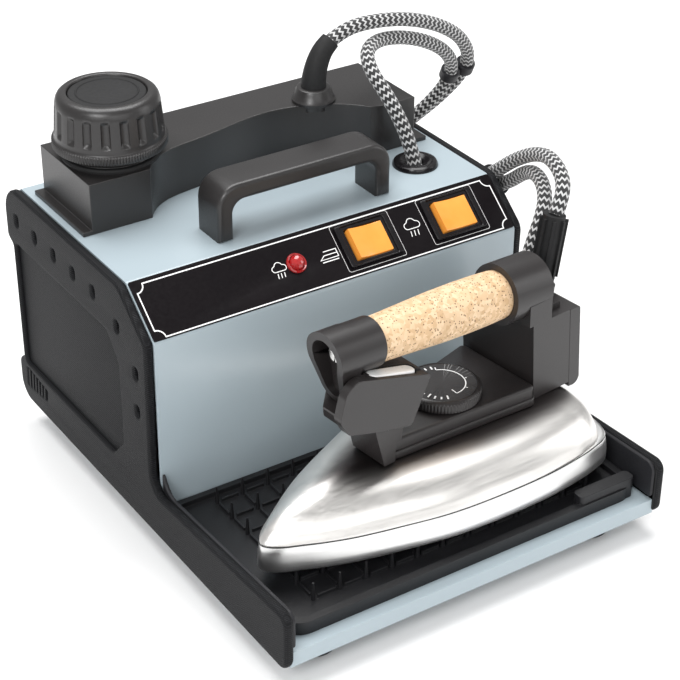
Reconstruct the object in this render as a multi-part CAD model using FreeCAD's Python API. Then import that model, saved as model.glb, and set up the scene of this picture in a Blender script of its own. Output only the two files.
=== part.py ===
import FreeCAD, Part
import math
import os

# Steam generator iron: a boiler base with carry handle and control strip, and a
# cork-handled iron that rests on a pinned mat.  Millimetres, +Z up, front is -Y.
# The origin is on the standing surface, at the middle of the base's footprint.

V = FreeCAD.Vector
X_DIR = V(1, 0, 0)
Y_DIR = V(0, 1, 0)
Z_DIR = V(0, 0, 1)

# ---- Driving dimensions of the base -----------------------------------------
CASE_W = 250.0            # painted casing, side to side
SHEET = 1.5               # casing sheet thickness
CASE_TOP = 166.0          # top face above the standing surface
CASE_REAR = 150.0         # rear face of the casing
FRONT_Y = -17.7           # vertical front of the casing
STRIP_BOT_Z = 141.3       # lower edge of the sloped control strip
STRIP_TOP_Y = 12.5        # upper edge of the sloped control strip
PANEL_OUT = 131.0         # outer face of each side panel
PANEL_SKIN = 128.2        # recessed field of each side panel
PANEL_IN = 125.3          # inner face of each side panel
PANEL_FRONT = -162.0      # front end of the side arms
PANEL_REAR = 162.0        # rear end of the side panels
PANEL_BOT = 13.5          # underside of the side panels
LIP_FRONT = -159.5        # front of the floor plate's lip
LIP_W = 253.0             # width of the lip
LIP_DEPTH = 4.5           # length of the wider part, front to back
PLATE_TOP = 23.6          # top of the floor plate
LIP_BOT = 13.6            # underside of the lip
FOOT_R = 10.0             # rubber feet

FEET = [(-97.0, -139.0), (97.0, -139.0), (-97.0, 132.0), (97.0, 132.0)]

# ---- Sloped control strip: distances run down from its upper edge --------------
SWITCHES = {"iron": 26.4, "steam": 88.0}
SWITCH_MID = 19.3
BEZEL_W, BEZEL_H = 37.0, 27.0
WINDOW_W, WINDOW_H = 26.0, 20.5
SWITCH_HOLE = (15.0, 12.2)    # half width and half height of the cut-out
ROCKER_PIVOT = -4.0           # pivot below the strip's surface
ROCKER_TILT = 6.0             # degrees, right-hand end pressed in
LAMP_X = -23.5
LAMP_R = 6.2

# ---- Carry handle and cable entries --------------------------------------------
HANDLE_POST_X = 54.6
HANDLE_Y = 34.6
GROMMET_X, GROMMET_Y = 95.0, 46.5
GLAND_X, GLAND_Z = -70.0, 45.0

# ---- Rest mat ----------------------------------------------------------------
MAT_W = 243.0
MAT_FRONT = -151.5
MAT_REAR = -19.0
MAT_FLOOR = 28.8
MAT_RIM = 32.0
PIN_PITCH = 17.35
PIN_TOP = 40.0
PIN_R = 1.3
PIN_ROWS = 7
PIN_COLUMNS = 12
FIRST_ROW_Y = -133.4

# ---- Top cover, filler and cap ------------------------------------------------
COVER_TOP = 198.0
COVER_REAR = 135.5
COVER_FRONT = 71.5
FILLER_X = -85.0
FILLER_Y = 103.5
CAP_BOT = 205.0
CAP_TOP = 238.0
CAP_R = 31.5
CAP_SKIRT_R = 33.8
CAP_PITCH = 6.0           # rise per turn of the cap's thread
BOOT_X = 56.0
BOOT_Y = 102.5
BOOT_TOP = V(68.0, 102.5, 234.0)

# ---- Boiler --------------------------------------------------------------------
BOILER_R = 47.0
BOILER_Y = 88.0
BOILER_Z = 86.0
BOILER_X0, BOILER_X1 = -112.0, 42.0

# ---- Iron, in its own frame: +X from the tip to the heel, Z up from the sole ---
IRON_L = 232.0
IRON_HALF_W = 55.0
SOLE_H = 17.0
HULL_TOP = 40.6
PLINTH_TOP = 53.0
IRON_YAW = 7.0            # how the iron lies on the mat, degrees about Z
IRON_TIP = V(-114.3, -109.0, PIN_TOP + 0.3)
GRIP_FRONT = V(75.0, 0.0, 116.6)
GRIP_REAR = V(176.0, 0.0, 109.9)
DIAL_X = 140.0
DIAL_Y = 7.8
DIAL_Z = 53.3
DIAL_R = 23.0
BUTTON_TRAVEL = 2.5
SLEEVE_BASE = V(225.0, 14.5, 92.4)
SLEEVE_TOP = V(232.4, 14.5, 135.0)
LEAD_ENTRY = V(217.2, 27.7, 79.0)

# ---- Cords ---------------------------------------------------------------------
CORD_D = 9.0
CLIP_R = 6.6
COIL_X = 45.0
COIL_Y = 233.0
COIL_OUTER_R = 61.0
COIL_INNER_R = 40.5
COIL_H = 19.0

PARTS = {}


# ---- Shape helpers -------------------------------------------------------------
def box(x0, x1, y0, y1, z0, z1):
    return Part.makeBox(x1 - x0, y1 - y0, z1 - z0, V(x0, y0, z0))


def rod(start, direction, radius, length):
    return Part.makeCylinder(radius, length, start, direction)


def tube(start, direction, outer, inner, length):
    return rod(start, direction, outer, length).cut(rod(start, direction, inner, length))


def fuse(shapes):
    whole = shapes[0].multiFuse(shapes[1:]) if len(shapes) > 1 else shapes[0]
    return whole.removeSplitter()


def rounded_face(points, radii):
    """A flat face whose corners are arcs; a radius of 0 leaves a corner sharp."""
    count = len(points)
    starts, ends, arcs = [], [], []
    for i, corner in enumerate(points):
        radius = radii[i] if isinstance(radii, (list, tuple)) else radii
        to_last = (points[i - 1] - corner).normalize()
        to_next = (points[(i + 1) % count] - corner).normalize()
        if radius <= 0:
            starts.append(corner)
            ends.append(corner)
            arcs.append(None)
            continue
        half = to_last.getAngle(to_next) / 2.0
        reach = radius / math.tan(half)
        bisector = (to_last + to_next).normalize()
        middle = corner + bisector * (radius / math.sin(half) - radius)
        start = corner + to_last * reach
        end = corner + to_next * reach
        starts.append(start)
        ends.append(end)
        arcs.append(Part.Arc(start, middle, end).toShape())
    edges = []
    for i in range(count):
        if arcs[i]:
            edges.append(arcs[i])
        following = starts[(i + 1) % count]
        if ends[i].distanceToPoint(following) > 1e-6:
            edges.append(Part.LineSegment(ends[i], following).toShape())
    return Part.Face(Part.Wire(edges))


def prism_x(yz, radii, x0, x1):
    """Outline in the YZ plane, drawn out along X."""
    face = rounded_face([V(x0, y, z) for y, z in yz], radii)
    return face.extrude(V(x1 - x0, 0, 0))


def prism_y(xz, radii, y0, y1):
    face = rounded_face([V(x, y0, z) for x, z in xz], radii)
    return face.extrude(V(0, y1 - y0, 0))


def prism_z(xy, radii, z0, z1):
    face = rounded_face([V(x, y, z0) for x, y in xy], radii)
    return face.extrude(V(0, 0, z1 - z0))


def slab(x0, x1, y0, y1, z0, z1, radius):
    """A plate with rounded upright corners."""
    return prism_z([(x0, y0), (x1, y0), (x1, y1), (x0, y1)], radius, z0, z1)


def turned(profile, centre):
    """A solid of revolution about Z from (radius, height) points."""
    points = [V(centre.x + r, centre.y, centre.z + z) for r, z in profile]
    face = Part.Face(Part.makePolygon(points + [points[0]]))
    return face.revolve(centre, Z_DIR, 360)


def mirrored(shape):
    """The same piece on the other side of the base."""
    return shape.mirror(V(0, 0, 0), X_DIR)


def add(name, shape):
    PARTS[name] = shape


def add_group(name, shapes):
    PARTS[name] = Part.makeCompound(shapes)


# ---- Casing and floor ------------------------------------------------------------
STRIP_RUN = STRIP_TOP_Y - FRONT_Y
STRIP_RISE = CASE_TOP - STRIP_BOT_Z
STRIP_LEN = math.hypot(STRIP_RUN, STRIP_RISE)
STRIP_UP = V(0, STRIP_RUN / STRIP_LEN, STRIP_RISE / STRIP_LEN)
STRIP_OUT = V(0, -STRIP_RISE / STRIP_LEN, STRIP_RUN / STRIP_LEN)


def on_strip(x, down, out=0.0):
    """A point of the sloped front, so far down from its upper edge."""
    top = V(x, STRIP_TOP_Y, CASE_TOP)
    return top - STRIP_UP * down + STRIP_OUT * out


def strip_block(x0, x1, down0, down1, out0, out1):
    """A block squared to the sloped front."""
    corners = [on_strip(x0, down0, out0), on_strip(x1, down0, out0),
               on_strip(x1, down1, out0), on_strip(x0, down1, out0)]
    face = Part.Face(Part.makePolygon(corners + [corners[0]]))
    return face.extrude(STRIP_OUT * (out1 - out0))


def switch_cutouts(out0, out1):
    half_w, half_h = SWITCH_HOLE
    return [strip_block(x - half_w, x + half_w, SWITCH_MID - half_h, SWITCH_MID + half_h, out0, out1)
            for x in SWITCHES.values()]


def casing():
    """Folded sheet with a sloped front, open underneath and at both sides."""
    half = CASE_W / 2
    outline = [(FRONT_Y, PLATE_TOP + 0.2), (FRONT_Y, STRIP_BOT_Z), (STRIP_TOP_Y, CASE_TOP),
               (CASE_REAR, CASE_TOP), (CASE_REAR, PLATE_TOP + 0.2)]
    inner = [(FRONT_Y + SHEET, PLATE_TOP - 1), (FRONT_Y + SHEET, STRIP_BOT_Z - 0.6),
             (STRIP_TOP_Y + 0.6, CASE_TOP - SHEET), (CASE_REAR - SHEET, CASE_TOP - SHEET),
             (CASE_REAR - SHEET, PLATE_TOP - 1)]
    shell = prism_x(outline, [0, 3, 3, 3, 0], -half, half)
    shell = shell.cut(prism_x(inner, [0, 2, 2, 2, 0], -half - 1, half + 1))
    cuts = [rod(V(FILLER_X, FILLER_Y, CASE_TOP - 5), Z_DIR, 24.0, 10),
            rod(V(BOOT_X, BOOT_Y, CASE_TOP - 5), Z_DIR, 9.0, 10),
            rod(V(GROMMET_X, GROMMET_Y, CASE_TOP - 5), Z_DIR, 9.0, 10),
            rod(V(GLAND_X, CASE_REAR - 5, GLAND_Z), Y_DIR, 7.5, 10),
            strip_rod(LAMP_X, SWITCH_MID, LAMP_R - 1.0, -6, 6)]
    cuts += switch_cutouts(-6, 6)
    for side in (-1, 1):
        cuts.append(rod(V(side * HANDLE_POST_X, HANDLE_Y, CASE_TOP - 5), Z_DIR, 2.2, 10))
    for x in range(-30, 31, 12):
        cuts.append(box(x - 2, x + 2, CASE_REAR - 4, CASE_REAR + 4, 80, 120))
    return shell.cut(Part.makeCompound(cuts))


def strip_rod(x, down, radius, out0, out1):
    return rod(on_strip(x, down, out0), STRIP_OUT, radius, out1 - out0)


def floor_plate():
    """A shallow pan turned upside down, with a wider lip along its front."""
    half = PANEL_IN - 0.3
    pan = box(-half, half, LIP_FRONT, CASE_REAR, LIP_BOT, PLATE_TOP)
    under = box(-half + SHEET, half - SHEET, LIP_FRONT + SHEET, CASE_REAR - SHEET,
                LIP_BOT - 1, PLATE_TOP - SHEET)
    lip = box(-LIP_W / 2, LIP_W / 2, LIP_FRONT, LIP_FRONT + LIP_DEPTH, LIP_BOT, PLATE_TOP)
    holes = [rod(V(x, y, LIP_BOT - 2), Z_DIR, 2.1, 14) for x, y in FEET]
    return fuse([pan.cut(under), lip]).cut(Part.makeCompound(holes))


def feet():
    profile = [(2.0, 0), (FOOT_R - 1.5, 0), (FOOT_R, 1.5), (FOOT_R - 1.0, 12), (7, 22.1), (2.0, 22.1)]
    return [turned(profile, V(x, y, 0)).cut(rod(V(x, y, -1), Z_DIR, 4.2, 9)) for x, y in FEET]


def foot_screws():
    screws = []
    for x, y in FEET:
        shank = rod(V(x, y, 8), Z_DIR, 1.95, PLATE_TOP - 8.1)
        screws.append(fuse([shank, rod(V(x, y, 5), Z_DIR, 3.9, 3)]))
    return screws


# ---- Side panels ------------------------------------------------------------------
PANEL_OUTLINE = [(PANEL_FRONT, PANEL_BOT), (PANEL_FRONT, 50.5), (-15.0, 42.5), (-17.9, 141.5),
                 (12.4, 166.3), (PANEL_REAR, 166.3), (PANEL_REAR, 130.0), (155.0, 126.0),
                 (155.0, 45.0), (PANEL_REAR, 41.0), (PANEL_REAR, PANEL_BOT)]
PANEL_RADII = [7, 7, 12, 9, 13, 20, 5, 3, 3, 5, 18]
FIELD_OUTLINE = [(170.0, 128.5), (30.0, 128.5), (17.0, 113.0), (17.0, 58.0), (31.0, 43.0),
                 (170.0, 43.0)]
HOLES = [(146.0, 146.4), (120.6, 146.4), (95.2, 146.4), (69.8, 146.4), (44.4, 146.4),
         (15.9, 137.6), (-4.5, 117.0), (-4.0, 91.4)]
SLOT_COUNT = 7


def side_panel():
    """Moulded panel: a thick rim round a recessed field, notched for the floor's lip."""
    skin = prism_x(PANEL_OUTLINE, PANEL_RADII, PANEL_IN, PANEL_SKIN)
    band = prism_x(PANEL_OUTLINE, PANEL_RADII, PANEL_SKIN, PANEL_OUT)
    field = prism_x(FIELD_OUTLINE, [0, 8, 10, 10, 8, 0], PANEL_SKIN, PANEL_OUT + 1)
    panel = fuse([skin, band.cut(field)])
    cuts = [box(PANEL_IN - 1, LIP_W / 2 + 0.3, PANEL_FRONT - 1, LIP_FRONT + LIP_DEPTH + 0.3,
                LIP_BOT - 1, PLATE_TOP + 0.3)]
    for y, z in HOLES:
        cuts.append(oval_x(y, z, 2.2, 3.8, PANEL_IN + 0.6, PANEL_OUT + 1))
        cuts.append(rod(V(PANEL_IN - 1, y, z), X_DIR, 1.3, 8))
    for i in range(SLOT_COUNT):
        y = 153.0 - 4.3 * i
        cuts.append(box(PANEL_IN - 1, PANEL_OUT + 1, y - 0.8, y + 0.8, 33.0 - 0.6 * i, 48.0 - 1.4 * i))
    return panel.cut(Part.makeCompound(cuts))


def oval_x(y, z, half_w, half_h, x0, x1):
    straight = half_h - half_w
    mid = box(x0, x1, y - half_w, y + half_w, z - straight, z + straight)
    ends = [rod(V(x0, y, z + s * straight), X_DIR, half_w, x1 - x0) for s in (-1, 1)]
    return fuse([mid] + ends)


def panel_screws():
    """Screws in the upper holes of the right-hand panel."""
    screws = []
    for y, z in HOLES[:5]:
        shank = rod(V(PANEL_IN - 6, y, z), X_DIR, 1.25, 7)
        screws.append(fuse([shank, rod(V(PANEL_IN + 0.6, y, z), X_DIR, 2.1, 1.4)]))
    return screws


def arm_liner():
    """Inner wall of the arm beside the mat."""
    outline = [(-160.0, 26.2), (-160.0, 49.6), (-27.0, 43.2), (-19.5, 55.0), (-19.5, 26.2)]
    return prism_x(outline, [2, 6, 12, 0, 0], 123.0, PANEL_IN)


# ---- Rest mat -----------------------------------------------------------------------
def pin_centres():
    for row in range(PIN_ROWS):
        for column in range(PIN_COLUMNS):
            x = (column - (PIN_COLUMNS - 1) / 2) * PIN_PITCH
            yield x, FIRST_ROW_Y + row * PIN_PITCH


def rest_mat():
    """Rimmed rubber mat with a raised tab at the front and a low grid between its pins."""
    half = MAT_W / 2
    base = slab(-half, half, MAT_FRONT, MAT_REAR, PLATE_TOP, MAT_RIM, [14, 14, 4, 4])
    well = slab(-half + 5, half - 5, MAT_FRONT + 5, MAT_REAR - 4, MAT_FLOOR, MAT_RIM + 1, [10, 10, 2, 2])
    mat = base.cut(well)
    extras = [slab(78, 118.5, MAT_FRONT + 1.0, MAT_FRONT + 9.5, PLATE_TOP, 37.5, 3)]
    reach = PIN_PITCH / 2 - 3.0
    low, high = MAT_FLOOR - 1, MAT_FLOOR + 2.2
    for x, y in pin_centres():
        if x < (PIN_COLUMNS - 2) / 2 * PIN_PITCH:
            mid = x + PIN_PITCH / 2
            extras.append(box(mid - reach, mid + reach, y - 0.6, y + 0.6, low, high))
        if y < FIRST_ROW_Y + (PIN_ROWS - 1.5) * PIN_PITCH:
            mid = y + PIN_PITCH / 2
            extras.append(box(x - 0.6, x + 0.6, mid - reach, mid + reach, low, high))
    return mat.multiFuse(extras)


def mat_pins():
    """Tapered pins that carry the hot iron clear of the mat."""
    return [Part.makeCone(PIN_R, PIN_R / 2, PIN_TOP - MAT_FLOOR - 0.02, V(x, y, MAT_FLOOR + 0.02))
            for x, y in pin_centres()]


# ---- Control strip --------------------------------------------------------------------
def control_strip():
    """Printed plate on the sloped front, with the lamp's ring standing on it."""
    half = CASE_W / 2 - 0.6
    plate = strip_block(-half, half, 0.8, STRIP_LEN - 0.8, 0.05, 1.1)
    plate = fuse([plate, strip_rod(LAMP_X, SWITCH_MID, LAMP_R, 0.5, 2.4)])
    cuts = [strip_rod(LAMP_X, SWITCH_MID, LAMP_R - 1.4, -1, 3)]
    return plate.cut(Part.makeCompound(cuts + switch_cutouts(-1, 3)))


def switch_body(x):
    """Frame, case and terminals of a rocker switch, with the rocker's pivot pin."""
    flange = strip_block(x - BEZEL_W / 2, x + BEZEL_W / 2, SWITCH_MID - BEZEL_H / 2,
                         SWITCH_MID + BEZEL_H / 2, 1.15, 3.4)
    case = strip_block(x - WINDOW_W / 2 - 1.9, x + WINDOW_W / 2 + 1.9, SWITCH_MID - 12.1,
                       SWITCH_MID + 12.1, -17, 1.2)
    window = strip_block(x - WINDOW_W / 2, x + WINDOW_W / 2, SWITCH_MID - WINDOW_H / 2,
                         SWITCH_MID + WINDOW_H / 2, -9.5, 5)
    tabs = [strip_block(x + dx - 0.4, x + dx + 0.4, SWITCH_MID - 2.4, SWITCH_MID + 2.4, -26, -17)
            for dx in (-8, 0, 8)]
    pivot = on_strip(x, SWITCH_MID, ROCKER_PIVOT)
    pin = rod(pivot - STRIP_UP * (WINDOW_H / 2 + 1), STRIP_UP, 1.5, WINDOW_H + 2)
    return fuse([fuse([flange, case] + tabs).cut(window), pin])


def rocker(x):
    """Lit rocker, drawn with its right-hand end pressed in."""
    half_w = WINDOW_W / 2 - 0.9
    half_h = WINDOW_H / 2 - 0.5
    pivot = on_strip(x, SWITCH_MID, ROCKER_PIVOT)
    outline = [(-half_w, 3.0), (-half_w, 8.0), (0, 6.9), (half_w, 8.0), (half_w, 3.0), (3, -3), (-3, -3)]
    points = [pivot - STRIP_UP * half_h + X_DIR * a + STRIP_OUT * b for a, b in outline]
    body = Part.Face(Part.makePolygon(points + [points[0]])).extrude(STRIP_UP * (2 * half_h))
    body = body.cut(rod(pivot - STRIP_UP * 20, STRIP_UP, 1.55, 40))
    body.rotate(pivot, STRIP_UP, ROCKER_TILT)
    return body


def lamp_lens():
    lens = strip_rod(LAMP_X, SWITCH_MID, LAMP_R - 1.5, -12, 2.4)
    dome = Part.makeSphere(LAMP_R - 1.5, on_strip(LAMP_X, SWITCH_MID, 2.4))
    above = strip_block(LAMP_X - 9, LAMP_X + 9, SWITCH_MID - 9, SWITCH_MID + 9, 2.3, 12)
    return fuse([lens, dome.common(above)])


# ---- Carry handle ---------------------------------------------------------------------
def carry_handle():
    """A flat-section arch, 19 wide at the posts, with well rounded shoulders."""
    outer = [(-59.5, CASE_TOP), (-59.5, 201.0), (59.5, 201.0), (59.5, CASE_TOP)]
    inner = [(-49.5, CASE_TOP - 1), (-49.5, 190.5), (49.5, 190.5), (49.5, CASE_TOP - 1)]
    arch = prism_y(outer, [0, 15, 15, 0], 21.8, 47.4)
    arch = arch.cut(prism_y(inner, [0, 8, 8, 0], 0, 60))
    holes = [rod(V(side * HANDLE_POST_X, HANDLE_Y, CASE_TOP - 1), Z_DIR, 1.9, 12) for side in (-1, 1)]
    return arch.cut(Part.makeCompound(holes))


def handle_screws():
    screws = []
    under = CASE_TOP - SHEET
    for side in (-1, 1):
        x = side * HANDLE_POST_X
        shank = rod(V(x, HANDLE_Y, under), Z_DIR, 1.85, 11)
        screws.append(fuse([shank, rod(V(x, HANDLE_Y, under - 3), Z_DIR, 4.0, 3)]))
    return screws


# ---- Top cover --------------------------------------------------------------------------
def cover_outline(grow):
    """Plan of the cover: two blocks with a shallow bay swept back between them."""
    left, right = -115.5 - grow, 111.5 + grow
    front, rear = COVER_FRONT - grow, COVER_REAR + grow
    bay = [V(-76, front, 0), V(-60, 86 - grow, 0), V(-31, 92.5 - grow, 0), V(20, 102 - grow, 0),
           V(52, 96 - grow, 0), V(80, front + 2.5, 0)]
    curve = Part.BSplineCurve()
    curve.interpolate(bay)
    straight = [bay[-1], V(88, front, 0), V(right, front, 0), V(right, rear, 0), V(left, rear, 0),
                V(left, front, 0), bay[0]]
    edges = [curve.toShape()]
    for a, b in zip(straight, straight[1:]):
        edges.append(Part.LineSegment(a, b).toShape())
    return Part.Wire(edges)


def cover_prism(grow, z0, z1):
    wire = cover_outline(grow)
    wire.translate(V(0, 0, z0))
    return Part.Face(wire).extrude(V(0, 0, z1 - z0))


def top_cover():
    """Moulded cover with side flanges, a collar for the cap and a hole for the hose."""
    body = cover_prism(0, CASE_TOP, COVER_TOP)
    flanges = [box(-121.2, -113, COVER_FRONT, COVER_REAR + 1, CASE_TOP, CASE_TOP + 2.8),
               box(109, 121.2, COVER_FRONT, COVER_REAR + 1, CASE_TOP, CASE_TOP + 2.8)]
    centre = V(FILLER_X, FILLER_Y, COVER_TOP - 1)
    collar = turned([(20.0, 0), (27.5, 0), (26.5, 4.0), (20.0, 4.0)], centre)
    whole = fuse([body, collar] + flanges)
    cuts = [cover_prism(-2.4, CASE_TOP - 1, COVER_TOP - 2.4),
            rod(V(FILLER_X, FILLER_Y, COVER_TOP - 5), Z_DIR, 17.3, 12),
            rod(V(BOOT_X, BOOT_Y, COVER_TOP - 5), Z_DIR, 9.6, 10)]
    return whole.cut(Part.makeCompound(cuts))


# ---- Filler neck and cap ------------------------------------------------------------------
def filler_neck():
    c = V(FILLER_X, FILLER_Y, 0)
    neck = rod(V(c.x, c.y, 133.1), Z_DIR, 17.0, 68.9)
    flange = rod(V(c.x, c.y, 141.0), Z_DIR, 22.0, 5)
    throat = rod(V(c.x, c.y, 120), Z_DIR, 13.0, 100)
    return fuse([neck, flange]).cut(throat)


def cap_shell():
    """Outer cap: tapered grip body over a wider knurled skirt, open underneath."""
    c = V(FILLER_X, FILLER_Y, CAP_BOT)
    rise = CAP_TOP - CAP_BOT
    shell = turned([(CAP_SKIRT_R - 4, 0), (CAP_SKIRT_R, 0.8), (CAP_SKIRT_R, 4.2), (CAP_R + 0.8, 7.0),
                    (CAP_R - 0.6, rise - 6), (CAP_R - 2.6, rise - 1.5), (CAP_R - 5.4, rise),
                    (23.4, rise), (23.4, rise - 2.6), (0, rise - 2.6), (0, rise - 6.6),
                    (25.4, rise - 6.6), (CAP_SKIRT_R - 4, 5)], c)
    flutes = []
    for i in range(18):
        angle = math.radians(20 * i)
        at = V(c.x + (CAP_R + 1.4) * math.cos(angle), c.y + (CAP_R + 1.4) * math.sin(angle), c.z + 9.5)
        flute = rod(at, Z_DIR, 2.4, 15)
        flutes.append(flute)
        flutes.append(Part.makeSphere(2.4, at + V(0, 0, 15)))
    return shell.cut(Part.makeCompound(flutes))


def cap_disc():
    c = V(FILLER_X, FILLER_Y, CAP_TOP - 2.55)
    return turned([(0, 0), (22.9, 0), (22.9, 1.3), (22.3, 1.7), (0, 1.7)], c)


def cap_core():
    """Brass threaded core that closes the filler neck."""
    c = V(FILLER_X, FILLER_Y, 0)
    top = CAP_TOP - 6.65
    core = turned([(0, 178.5), (4, 176), (8, 176), (12.9, 180), (12.9, 203.9), (20, 203.9), (20, 207),
                   (15, 207), (15, top), (0, top)], c)
    pocket = rod(V(c.x, c.y, 185), Z_DIR, 8.0, top - 190)
    return core.cut(pocket)


def cap_seal():
    c = V(FILLER_X, FILLER_Y, 202.1)
    return turned([(13.0, 0), (16.8, 0), (16.8, 1.7), (13.0, 1.7)], c)


# ---- Hose boot and grommet ------------------------------------------------------------------
def boot_ring():
    c = V(BOOT_X, BOOT_Y, COVER_TOP)
    return turned([(8.2, -4.5), (9.3, -4.5), (9.3, 0.05), (12.6, 0.05), (12.6, 2.4), (10.6, 8.4), (10.0, 9.4),
                   (8.2, 9.4)], c)


def boot_sleeve():
    """Rubber sleeve that leans to the right as it rises."""
    start = V(BOOT_X, BOOT_Y, COVER_TOP)
    levels = [(start, V(0, 0, 1), 6.6), (start + V(0, 0, 10), V(0.02, 0, 1), 6.6),
              (V(58.5, BOOT_Y, 219), V(0.25, 0, 1), 6.5), (BOOT_TOP, V(0.62, 0, 1), 6.3)]
    wires = [Part.Wire(Part.makeCircle(r, p, d)) for p, d, r in levels]
    return Part.makeLoft(wires, True, False)


def grommet():
    c = V(GROMMET_X, GROMMET_Y, CASE_TOP)
    return turned([(5.2, -5), (11.4, -5), (11.4, -1.6), (8.8, -1.6), (8.8, 0.05), (14.3, 0.05),
                   (13.4, 2.4), (9.4, 3.0), (7.6, 2.0), (5.2, -0.5)], c)


# ---- Boiler and electrics -------------------------------------------------------------------
def boiler_body():
    shell = rod(V(BOILER_X0 + 8, BOILER_Y, BOILER_Z), X_DIR, BOILER_R, BOILER_X1 - BOILER_X0 - 8)
    end = Part.makeCone(BOILER_R - 8, BOILER_R, 8, V(BOILER_X0, BOILER_Y, BOILER_Z), X_DIR)
    pad = rod(V(FILLER_X, FILLER_Y, 110), Z_DIR, 24, 22)
    whole = fuse([shell, end, pad])
    inside = rod(V(BOILER_X0 + 6, BOILER_Y, BOILER_Z), X_DIR, BOILER_R - 3.5, BOILER_X1 - BOILER_X0)
    inside = inside.cut(rod(V(BOILER_X0, BOILER_Y, BOILER_Z), X_DIR, BOILER_R, 8))
    bore = rod(V(FILLER_X, FILLER_Y, 90), Z_DIR, 13.0, 50)
    return whole.cut(fuse([inside, bore]))


def boiler_lid():
    disc = rod(V(BOILER_X1, BOILER_Y, BOILER_Z), X_DIR, BOILER_R + 3, 4)
    boss = rod(V(BOILER_X1 + 4, BOILER_Y, BOILER_Z), X_DIR, 14, 5)
    hole = rod(V(BOILER_X1 - 1, BOILER_Y, BOILER_Z), X_DIR, 8.2, 12)
    return fuse([disc, boss]).cut(hole)


def heater_element():
    """Screw plug with a hairpin element and two terminals."""
    turn_x = BOILER_X0 + 30
    plug = rod(V(BOILER_X1 - 2, BOILER_Y, BOILER_Z), X_DIR, 8.1, 20)
    hairpin = Part.makeTorus(4.6, 3.2, V(turn_x, BOILER_Y, BOILER_Z), Y_DIR)
    hairpin = hairpin.common(box(BOILER_X0, turn_x, BOILER_Y - 10, BOILER_Y + 10,
                                 BOILER_Z - 12, BOILER_Z + 12))
    pieces = [plug, hairpin]
    for dz in (-4.6, 4.6):
        z = BOILER_Z + dz
        pieces.append(rod(V(turn_x, BOILER_Y, z), X_DIR, 3.2, BOILER_X1 - turn_x - 2))
        pieces.append(box(BOILER_X1 + 18, BOILER_X1 + 26, BOILER_Y - 0.5, BOILER_Y + 0.5, z - 2.4, z + 2.4))
    return fuse(pieces)


def boiler_bracket(x):
    plate = box(x - 1.5, x + 1.5, BOILER_Y - 44, BOILER_Y + 44, PLATE_TOP + 0.1, BOILER_Z)
    foot = box(x - 1.5, x + 14, BOILER_Y - 44, BOILER_Y + 44, PLATE_TOP + 0.1, PLATE_TOP + 3)
    saddle = rod(V(x - 20, BOILER_Y, BOILER_Z), X_DIR, BOILER_R + 0.05, 40)
    return fuse([plate, foot]).cut(saddle)


def solenoid_valve():
    body = box(62, 92, 96, 122, 60, 84)
    coil = rod(V(77, 109, 84), Z_DIR, 14.5, 30)
    inlet = box(48, 63, 103.5, 114.5, 64, 78)
    outlet = rod(V(77, 109, 114), Z_DIR, 5, 8)
    return fuse([body, coil, inlet, outlet])


def steam_pipe():
    """Copper pipe from the boiler's crown to the valve."""
    points = [V(10, 88, 133.1), V(10, 88, 150), V(53, 109, 150), V(53, 109, 78.1)]
    return bent_tube(points, 3.0, 0.45)[0]


def pressure_switch():
    can = rod(V(-30, 88, 133.2), Z_DIR, 13, 15)
    tabs = [box(-30 + dx - 0.4, -30 + dx + 0.4, 85, 91, 148, 156) for dx in (-6, 6)]
    return fuse([can] + tabs)


def safety_cutout():
    x, y = BOILER_X1 + 4.1, BOILER_Y - 30
    base = rod(V(x, y, BOILER_Z), X_DIR, 9, 7)
    tabs = [box(x + 6.9, x + 15, y + dy - 0.4, y + dy + 0.4, BOILER_Z - 3, BOILER_Z + 3) for dy in (-4, 4)]
    return fuse([base] + tabs)


def terminal_block():
    base = slab(62, 112, 20, 44, PLATE_TOP + 0.1, PLATE_TOP + 18, 1)
    wells = [rod(V(70 + 11.3 * i, 32, PLATE_TOP + 8), Z_DIR, 2.6, 12) for i in range(4)]
    return base.cut(Part.makeCompound(wells))


def mains_gland():
    """Empty gland for the mains lead, with its nut inside the casing."""
    c = V(GLAND_X, CASE_REAR, GLAND_Z)
    body = rod(c + V(0, -8, 0), Y_DIR, 7.4, 10)
    nut = rod(c + V(0, -7, 0), Y_DIR, 11, 5.4)
    head = rod(c + V(0, 0.05, 0), Y_DIR, 11.5, 4)
    cone = Part.makeCone(9.5, 6.5, 8, c + V(0, 4, 0), Y_DIR)
    return fuse([body, nut, head, cone]).cut(rod(c + V(0, -10, 0), Y_DIR, 4.0, 30))


# ---- Iron: soleplate and hull ----------------------------------------------------------------
HALF_PLAN = [(0, 0), (2.4, 5.0), (17, 14.8), (42, 27.4), (70, 37.2), (100, 46.2), (132, 51.6), (169, 55.0),
             (198, 54.4), (218, 51.0), (229, 41.0), (232, 22.0), (IRON_L, 0)]
FAR_SWELL = 0.02          # how much the plan swells on its far side, per mm of length


def sole_wire(height, nose, side, heel):
    """Iron plan at one height, drawn in at the nose, the sides and the heel."""
    stretch = (IRON_L - nose - heel) / IRON_L
    narrow = (IRON_HALF_W - side) / IRON_HALF_W
    halves = []
    for sign in (-1, 1):
        swell = FAR_SWELL * (sign + 1)
        points = [V(nose + u * stretch, sign * w * narrow + swell * u * min(1, 2 - 2 * u / IRON_L), height)
                  for u, w in HALF_PLAN]
        curve = Part.BSplineCurve()
        curve.interpolate(points)
        halves.append(curve)
    return Part.Wire([halves[0].toShape(), halves[1].toShape()])


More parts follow.
